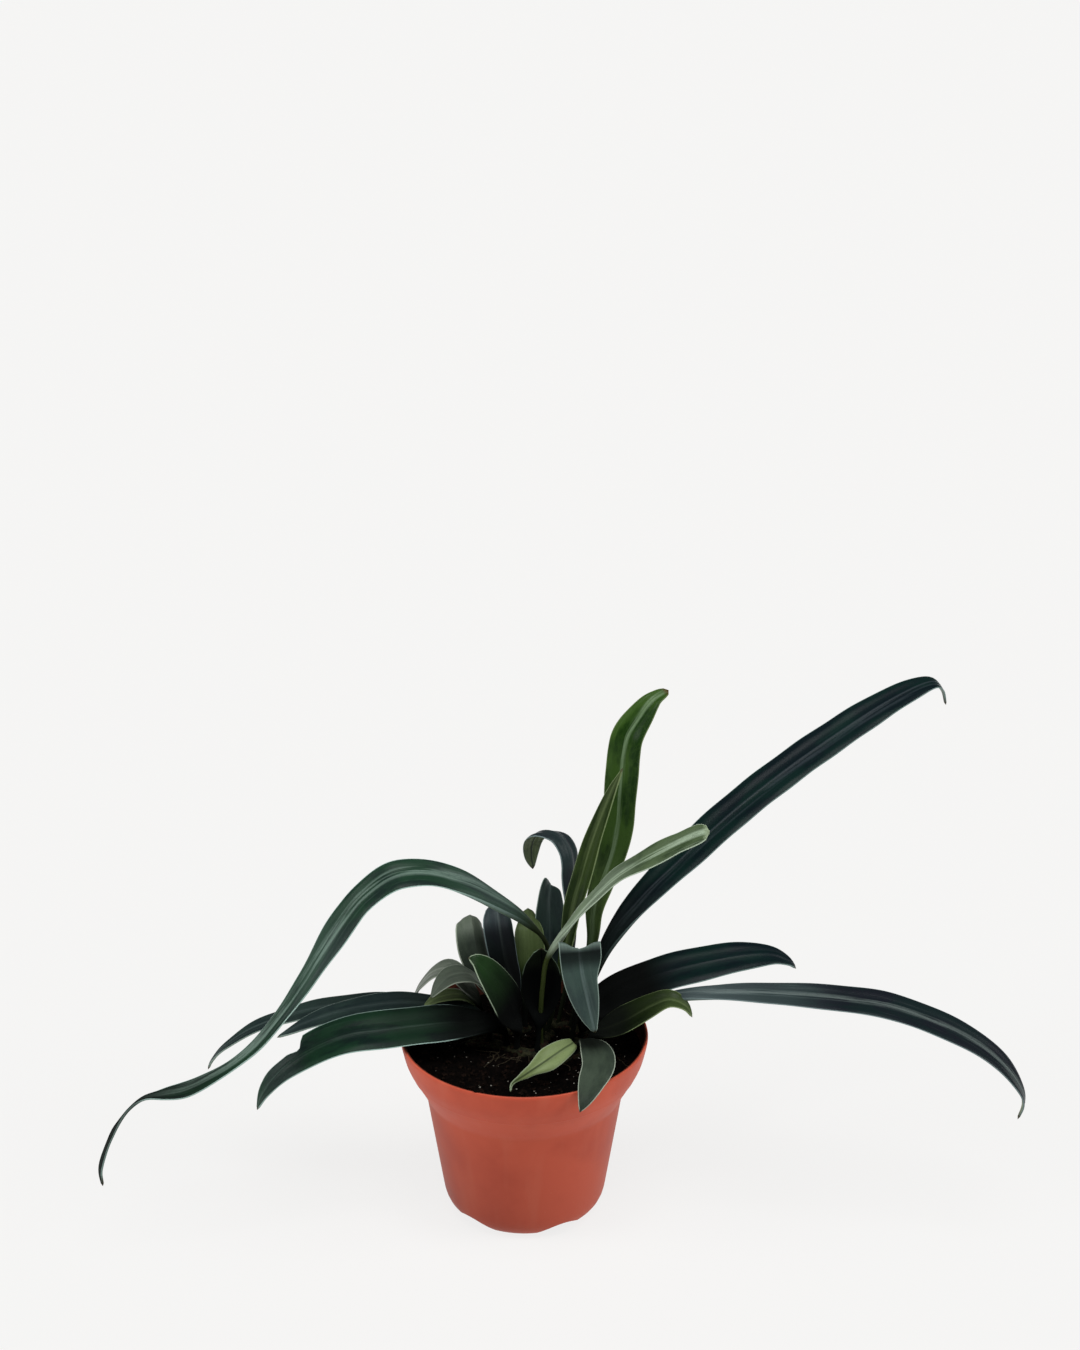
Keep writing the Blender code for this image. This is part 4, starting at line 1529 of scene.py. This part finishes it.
# The stems' routes over the mix, as (x, y) places.
RHIZOMES = (
    Rhizome("rhizome_front_left",
            ((-29, 5.5), (-22, 5.2), (-16, 4), (-10, 1), (-5, -2), (0.5, -5), (6, -4.8),
             (8.3, 1), (8.5, 7), (11, 12), (14, 17))),
    Rhizome("rhizome_back_left", ((-33, 13.5), (-23, 13), (-14, 14.5), (-5, 17.2), (4, 21))),
    Rhizome("rhizome_front_right", ((11, -13), (19, -10), (26, -7), (32, -3), (40, 5))),
    Rhizome("rhizome_back_right",
            ((18, 0), (24, 4), (29.5, 9), (29, 14), (23, 19), (15, 23), (7, 27))),
)

# What a row leaves out keeps the value that Frond gives it.
FRONDS = (
    Frond("frond_tall_right", (29.2, 14.5), 30,
          ((4.5, 22), (13, 43), (31, 62.5), (55, 79), (84, 97), (115, 112.5), (146, 125.5),
           (177, 136.5), (202, 141.5), (211, 136.5), (214.5, 126.5)),
          width=20.3, stipe=0.1, widest=0.45, rolls=((0, 5), (0.25, 16), (0.9, 18), (1, 22)),
          fold=7, wave=0.25, wobble=0.004, taper=4.4, blunt=0.3, beside=-2.2,
          shade=((0.0, 0.9), (0.16, 0.75), (0.34, 0.0)), painted_highlight=((0.93, 0.0), (0.97, 0.3))),
    Frond("frond_upright_green", (23, 18.5), 38,
          ((6, 20), (13, 42), (14, 59), (19, 72), (25, 86), (28.5, 100), (29.5, 114),
           (30.5, 126), (31.5, 137), (34, 146), (41, 154), (49, 160.5), (59, 163)),
          width=17, stipe=0.18, widest=0.72, rolls=((0, 0), (0.3, 30), (1, 30)),
          skin=Skin.YOUNG, blunt=0.5, taper=2.8,
          fold=12, rib_and_sheen=1.15, reach=1.9,
          shade=((0.0, 0.8), (0.25, 0.5), (0.36, 0.3), (0.5, 0.35), (0.62, 0.2), (0.76, 0.0)),
          painted_highlight=((0.2, 0.0), (0.30, 0.25), (0.42, 0.22), (0.52, 0.04), (0.62, 0.0))),
    Frond("frond_upright_slim", (11.5, 13), 32,
          ((5, 22, -1), (8.5, 46, -3), (11.5, 63.5, -3.5), (15, 79, -5), (20, 97.5, -6.5),
           (25, 114, -8.5), (29.5, 126, -10), (33, 133.5, -11), (34, 137.5, -12)),
          width=12, stipe=0.2, widest=0.5, rolls=((0, 0), (0.3, 20), (1, 20)), fold=14,
          skin=Skin.OLIVE, narrows=((0.0, 1.0), (0.4, 0.82), (0.6, 0.95)),
          shade=((0.0, 0.7), (0.4, 0.0))),
    Frond("frond_sage", (8, 1.5), -15,
          ((0, 17.5), (1, 31.5), (3, 45.5), (9.5, 58), (17, 70), (27, 83.5), (39, 96.5),
           (53, 107), (66, 116), (75, 121.5), (80.5, 123.5)),
          width=13.5, stipe=0.3, widest=0.82, rolls=((0, 0), (0.4, 18), (0.7, 20), (0.9, 32), (1, 32)),
          folds=((0.0, 22), (0.7, 20), (0.86, 8), (1.0, 5)),
          skin=Skin.SAGE, cleft=9.0, blunt=0.9,
          shade=((0.0, 0.6), (0.1, 0.25), (0.35, 0.0)),
          painted_highlight=((0.15, 0.0), (0.30, 0.95), (0.46, 0.35), (0.62, 0.35), (0.8, 0.0))),
    Frond("frond_long_left", (8.5, 6.5), 195,
          ((-3, 22), (-3, 48.5), (8, 64.5), (23, 77.5), (37.5, 88.5), (52, 95.5), (65, 97.5),
           (75, 95.5), (86.5, 87.5), (94, 79), (104, 64.5), (116, 46), (126, 32),
           (139, 17), (150.5, 8), (162, 2), (174, -2.5), (185, -3.5), (194, -4),
           (201.5, -9), (208, -18), (213, -28.5), (216.5, -39.5), (216, -49)),
          width=17, stipe=0.17, widest=0.4, fold=13, skin=Skin.DEEP, taper=3.2,
          rolls=((0, 0), (0.25, -28), (0.5, -24), (0.62, -14), (0.72, -12), (0.78, -14),
                 (0.82, -22), (0.875, 20), (0.92, 0), (1, -30)),
          rib_and_sheen=1.35, reach=3.5, beside=-1.5, blunt=0.3,
          shade=((0.0, 0.7), (0.25, 0.2), (0.4, 0.0), (0.7, 0.0), (0.8, 0.5), (0.87, 0.93), (1.0, 0.88)),
          painted_highlight=((0.15, 0.05), (0.25, 0.14), (0.36, 0.02), (0.45, 0.02), (0.56, 0.12), (0.7, 0.0)),
          narrows=((0.5, 1.0), (0.64, 0.66), (0.72, 0.5), (0.80, 0.74), (0.855, 0.47),
                   (0.885, 0.32), (0.93, 0.85), (0.97, 1.1))),
    Frond("frond_curled_back", (17, 22), 140,
          ((-1, 22, -5), (-0.5, 46.5, -9.5), (1.5, 73.5, -10.5), (2, 82, -11), (4.5, 88, -12),
           (9.5, 93, -12), (16.5, 93.5, -11), (22, 91, -10), (25.5, 86, -10),
           (26.5, 78.5, -10), (26, 70.5, -11)),
          width=13, stipe=0.25, widest=0.78, fold=-10, skin=Skin.SLATE, blunt=0.3, rib_and_sheen=0.15,
          painted_highlight=((0.5, 0.0), (0.68, 0.08)),
          rolls=((0, 0), (0.68, 0), (0.88, 20), (1, 24)), shade=((0.2, 0.6), (0.5, 0.0))),
    Frond("frond_back_centre", (11.5, 25), 75,
          ((2, 12), (5, 24, 0.5), (9.5, 35.5, 1.5), (15, 48, 3), (21, 55.5, 4.5), (28, 58.5, 6),
           (36, 54, 8)),
          width=15.5, stipe=0.15, widest=0.6, fold=24, skin=Skin.GREY, rib_and_sheen=0.8,
          shade=((0.0, 0.8), (0.5, 0.35)),
          rolls=((0, 0), (0.25, 20), (0.6, 24), (0.75, 36), (1, 36))),
    Frond("frond_back_left", (-10.5, 15.4), 125,
          ((5.5, 13, 1.5), (12.5, 24.5, 3), (19.5, 35.5, 3), (25, 43, 1),
           (29.5, 46.5, -1), (33, 47, -2.5)),
          width=16.5, stipe=0.25, widest=0.7, fold=-6, taper=4.0, blunt=0.85, skin=Skin.ASH,
          rib_and_sheen=0.1, bow=((0.3, 0.1), (0.8, 0.3), (1.0, 0.5)),
          shade=((0.0, 0.9), (0.5, 0.55), (0.72, 0.4), (0.88, 0.05)),
          painted_highlight=((0.72, 0.0), (0.92, 0.3))),
    Frond("frond_back_dark", (-5.5, 17), 105,
          ((4, 17.5, -1), (8.5, 32, 2), (13, 43.5, 3), (17.5, 50, 3),
           (22, 54, 2.5), (26, 55, 2)),
          width=15, stipe=0.12, widest=0.7, fold=-6, taper=4.0, blunt=0.8, rib_and_sheen=0.25,
          bow=((0.3, 0.1), (0.8, 0.3), (1.0, 0.5)),
          skin=Skin.SLATE, shade=((0.0, 1.0), (0.5, 0.9), (0.74, 0.6), (0.85, 0.0)),
          painted_highlight=((0.7, 0.0), (0.9, 0.16))),
    Frond("frond_back_olive", (0, 19.2), 85,
          ((4.5, 18, -1), (8.5, 32.5, -1.5), (12.5, 44.5, -1), (16.5, 47.5, -0.5),
           (21, 50, 0), (24.5, 51, 0.5)),
          width=15, stipe=0.12, widest=0.62, fold=-6, taper=3.0, blunt=0.6, skin=Skin.OLIVE, rib_and_sheen=0.2,
          bow=((0.3, 0.1), (0.8, 0.3), (1.0, 0.5)),
          shade=((0.0, 1.0), (0.36, 0.85), (0.54, 0.1)), painted_highlight=((0.42, 0.0), (0.6, 0.25), (0.78, 0.4))),
    Frond("frond_arch_outer_left", (-19, 13.6), 160,
          ((2, 10), (6, 18), (13, 27), (20.5, 30), (28, 26), (34.5, 17.5), (38, 10)),
          width=13, stipe=0.2, widest=0.6, rolls=((0, 0), (0.4, -14), (1, -14)),
          skin=Skin.PALE, blunt=0.35, shade=((0.0, 0.9), (0.3, 0.5), (0.55, 0.0))),
    Frond("frond_arch_inner_left", (-14.5, 14.4), 206,
          ((0.5, 8), (1.5, 17), (5.5, 25), (14, 33.5), (23, 35), (29.5, 31), (34, 25)),
          width=14, stipe=0.2, widest=0.6, rolls=((0, 0), (0.4, -10), (1, -10)),
          skin=Skin.ASH, rib_and_sheen=0.8, painted_highlight=((0.4, 0.1), (0.7, 0.25)),
          shade=((0.0, 1.0), (0.32, 0.85), (0.52, 0.0))),
    Frond("frond_small_left", (-23.5, 13), 200,
          ((0.5, 8), (2, 15), (6, 20), (12, 22), (20, 21.5), (27, 18)),
          width=9, stipe=0.25, widest=0.65, rolls=((0, 0), (0.4, -10), (1, -10)),
          skin=Skin.OLIVE, painted_highlight=((0.2, 0.1), (0.5, 0.6))),
    Frond("frond_inner_left", (-3.5, -2.8), 195,
          ((0, 10), (3.5, 23.5), (12, 39.5), (19, 49), (24, 52)),
          width=21, stipe=0.12, widest=0.42, rolls=((0, 0), (0.4, -46), (1, -46)),
          skin=Skin.MOSS, fold=6, rib_and_sheen=0.0, shade=((0.0, 1.0), (0.40, 1.0), (0.66, 0.45), (0.9, 0.0))),
    Frond("frond_low_front_left", (-8.5, 0), 193,
          ((1, 6), (7, 11.5), (18, 14), (32, 15.5), (57, 15.5), (76, 14, -2), (93, 8.5, -3),
           (108, -1, -4), (118, -13.5, -5), (122, -24, -5.5)),
          width=22, stipe=0.04, widest=0.32, rolls=((0, 0), (0.12, -26), (1, -26)),
          skin=Skin.DEEP, taper=3.2, rib_and_sheen=0.22,
          shade=((0.0, 1.0), (0.2, 0.97), (0.38, 0.4), (0.55, 0.0)),
          painted_highlight=((0.72, 0.0), (0.84, 0.10), (1.0, 0.08)),
          right=((0.0, 1.0), (0.72, 1.0), (0.75, 0.35), (0.80, 0.6), (0.9, 0.95))),
    Frond("frond_low_middle_left", (-17, 4.4), 176,
          ((0, 6), (2, 11.5), (12, 15.5, -2), (24, 16.5, -3), (44, 16.5, -3.5), (68.5, 12, -3),
           (88.5, 4.5, -2.5), (105, -4.5, -1)),
          width=15, stipe=0.1, widest=0.55, rolls=((0, 0), (0.2, -16), (1, -16)),
          rib_and_sheen=0.4, skin=Skin.GREY, fold=7, shade=((0.0, 1.0), (0.25, 0.7), (0.6, 0.15))),
    Frond("frond_low_back_left", (-28, 13.2), 172,
          ((0, 5), (3, 9), (10, 12.5, -1), (19, 13.5, -2), (34, 13, -2), (59, 9.5, -1.5),
           (84, 3), (107, -7, 1), (122, -18, 2.5), (129, -26.5, 3), (131.5, -32, 3.5)),
          width=13, stipe=0.1, widest=0.5, rolls=((0, 0), (0.2, -12), (1, -12)),
          rib_and_sheen=0.5, skin=Skin.GREY, shade=((0.0, 1.0), (0.4, 0.5), (0.7, 0.2))),
    Frond("frond_broad_right", (27.5, 6.8), 9,
          ((2, 7), (8, 15.5), (19, 23.5), (39, 31), (58.5, 35), (78.5, 37.5), (93.5, 37),
           (102.5, 33), (107, 28)),
          width=22, stipe=0.03, widest=0.22, rolls=((0, 0), (0.2, 22), (1, 22)),
          rib_and_sheen=0.18, reach=4.5, wave=0.2, taper=4.0, fold=5,
          shade=((0.0, 1.0), (0.36, 1.0), (0.52, 0.1), (0.6, 0.0))),
    Frond("frond_long_right", (36, 1.7), -10,
          ((6, 12), (20, 23), (44, 30.5), (68, 34), (94, 35.2), (116, 35.3), (138.5, 33.6),
           (161.5, 26.8), (180, 18.2), (193.5, 8), (202.5, -4.5), (204.8, -13), (202.5, -22)),
          width=18.5, stipe=0.14, widest=0.6, rolls=((0, 0), (0.2, 14), (0.9, 14), (1, 0)),
          rib_and_sheen=1.0, reach=2.6, skin=Skin.SLATE, shade=((0.0, 0.7), (0.2, 0.0)),
          painted_highlight=((0.16, 0.0), (0.26, 0.38), (0.40, 0.2), (0.54, 0.0)), wave=0.15, wobble=0.004,
          taper=2.8),
    Frond("frond_small_right", (30, -4.5), -8,
          ((4, 8), (18.5, 17), (30.5, 25.5), (40, 30), (47.5, 27), (51, 21)),
          width=17, stipe=0.10, widest=0.42, rolls=((0, 0), (0.2, 26), (1, 20)), fold=16, taper=1.9,
          skin=Skin.OLIVE, rib_and_sheen=1.0, reach=1.2, shade=((0.0, 1.0), (0.36, 0.95), (0.66, 0.35), (0.8, 0.0)),
          painted_highlight=((0.5, 0.0), (0.8, 0.15))),
    Frond("frond_folded_front", (23, 3.2), -90,
          ((0, 17, 2), (3, 38, 2), (9, 55.5, 2.5), (15, 58.5, 2.8), (20, 47, 4.2),
           (24, 33, 7.5), (27, 19.5, 11)),
          taper=3.2, blunt=0.4, width=18.5, stipe=0.28, widest=0.6, skin=Skin.GREY,
          shade=((0.0, 0.95), (0.55, 0.9), (0.585, 0.2), (0.605, 0.1), (0.63, 0.85), (0.66, 0.75),
                 (0.72, 0.0)),
          left=((0.0, 1.0), (0.64, 1.15), (0.78, 0.8), (1.0, 0.7)),
          painted_highlight=((0.57, 0.0), (0.60, 0.75), (0.615, 0.4), (0.63, 0.0), (0.72, 0.10)),
          folds=((0.0, 16), (0.42, 16), (0.54, 28), (0.66, 22), (1, 12))),
    Frond("frond_over_rim", (24, -7.9), -80,
          ((5, 8, 5), (18, 11, 7), (33, 11.5, 5.5), (42.5, 8.5, 0.5), (50, 5, -4),
           (54, 0, -7.5)),
          width=16, stipe=0.08, widest=0.5, fold=18, skin=Skin.ASH, rib_and_sheen=0.0,
          shade=((0.0, 1.0), (0.3, 0.85), (0.48, 0.15), (0.7, 0.10), (1.0, 0.4))),
    Frond("frond_small_front", (17, -10.8), -120,
          ((0, 5, 3), (2, 9.5, 8), (10.5, 10.5, 7.5), (21.5, 9, 4.5), (31, 4.5, -1.5),
           (35.5, 1, -5.5), (40, -1, -3.8)),
          width=11.5, stipe=0.12, widest=0.55, rolls=((0, 0), (0.3, -35), (1, -35)),
          skin=Skin.LIME, shade=((0.0, 0.8), (0.2, 0.0)),
          narrows=((0.55, 1.0), (0.76, 0.5), (0.88, 0.28), (1, 0.3))),
    Frond("frond_inner_dark", (6.3, -5.4), -90,
          ((-4, 11, 1), (-9, 22, 2), (-10.5, 35, 2), (-9.5, 45, 2), (-6, 52, 2)),
          width=19, stipe=0.2, widest=0.6, fold=-10, bow=((0.0, 0.4),), rib_and_sheen=0.0, skin=Skin.BLACK,
          blunt=0.6, taper=3.0, shade=((0.0, 1.0), (0.7, 1.0), (0.85, 0.5))),
)


# ---- studio ------------------------------------------------------------------------------
@dataclass
class Studio:
    """Pale floor, soft suns above and to both sides, and the camera, in metres."""

    camera_place: Point = (0.007614, -1.077016, 0.728411)
    camera_tilt: float = 67.473    # degrees from straight down
    lens: float = 68.07
    sensor_width: float = 36.0
    clip: Pair = (0.01, 100.0)
    floor_size: float = 40.0
    floor_colour: Colour = (0.10, 0.0985, 0.096)
    floor_cloud: float = 0.985     # how dark the paper's faint clouds are
    floor_glow: Colour = (0.815, 0.812, 0.806)
    sky: float = 0.12
    spread: float = 32.0           # degrees that each sun's disc fills
    suns: tuple[tuple[str, Point, float], ...] = (    # name, direction to it, strength
        ("top", (0.05, -0.30, 1.0), 1.55), ("left", (-1.0, -0.30, 0.70), 1.25),
        ("right", (1.0, -0.25, 0.70), 1.25))

    def build_floor(self) -> None:
        """Add the floor: pale paper lit from below, which keeps shadows faint."""
        deselect()
        bpy.ops.mesh.primitive_plane_add(size=self.floor_size)
        floor = added("studio_floor")
        s = Surface("studio_paper")
        cloud = s.noise(s.place(), 0.8, 2.0)
        darker = tuple(self.floor_cloud * part for part in self.floor_colour)
        colour = s.mix(self.floor_colour, darker, cloud)
        material = s.finish(colour, 0.95, cloud, 0.0001, 0.1, Specular_IOR_Level=0.0,
                            Emission_Color=(*self.floor_glow, 1.0), Emission_Strength=1.0)
        floor.data.materials.append(material)

    def build_lights(self) -> None:
        """Add the even sky and the wide suns."""
        scene = bpy.context.scene
        scene.world = bpy.data.worlds.new("studio_air")
        scene.world.use_nodes = True
        air = scene.world.node_tree.nodes["Background"]
        air.inputs["Color"].default_value = (1.0, 1.0, 1.0, 1.0)
        air.inputs["Strength"].default_value = self.sky
        for name, source, strength in self.suns:
            lamp = bpy.data.lights.new("sun_" + name, "SUN")
            lamp.energy = strength
            lamp.angle = math.radians(self.spread)
            sun = bpy.data.objects.new("sun_" + name, lamp)
            sun.rotation_euler = Vector(source).to_track_quat("Z", "Y").to_euler()
            scene.collection.objects.link(sun)

    def build_camera(self) -> None:
        """Add the camera and make it the scene's own."""
        data = bpy.data.cameras.new("camera")
        data.lens = self.lens
        data.sensor_width = self.sensor_width
        data.sensor_fit = "AUTO"
        data.clip_start, data.clip_end = self.clip
        camera = bpy.data.objects.new("camera", data)
        camera.location = self.camera_place
        camera.rotation_euler = (math.radians(self.camera_tilt), 0.0, 0.0)
        bpy.context.scene.collection.objects.link(camera)
        bpy.context.scene.camera = camera

    def build(self) -> None:
        """Build the whole studio."""
        self.build_floor()
        self.build_lights()
        self.build_camera()
        bpy.context.scene.view_settings.view_transform = "Standard"


def main() -> None:
    """Build the studio, the pot, the mix, the rhizomes and the fronds in order."""
    logging.basicConfig(level=logging.INFO, format="%(name)s %(message)s")
    Studio().build()
    Pot().build()
    PottingMix().build()
    for plant_part in RHIZOMES + FRONDS:
        plant_part.build()


if __name__ == "__main__":
    main()
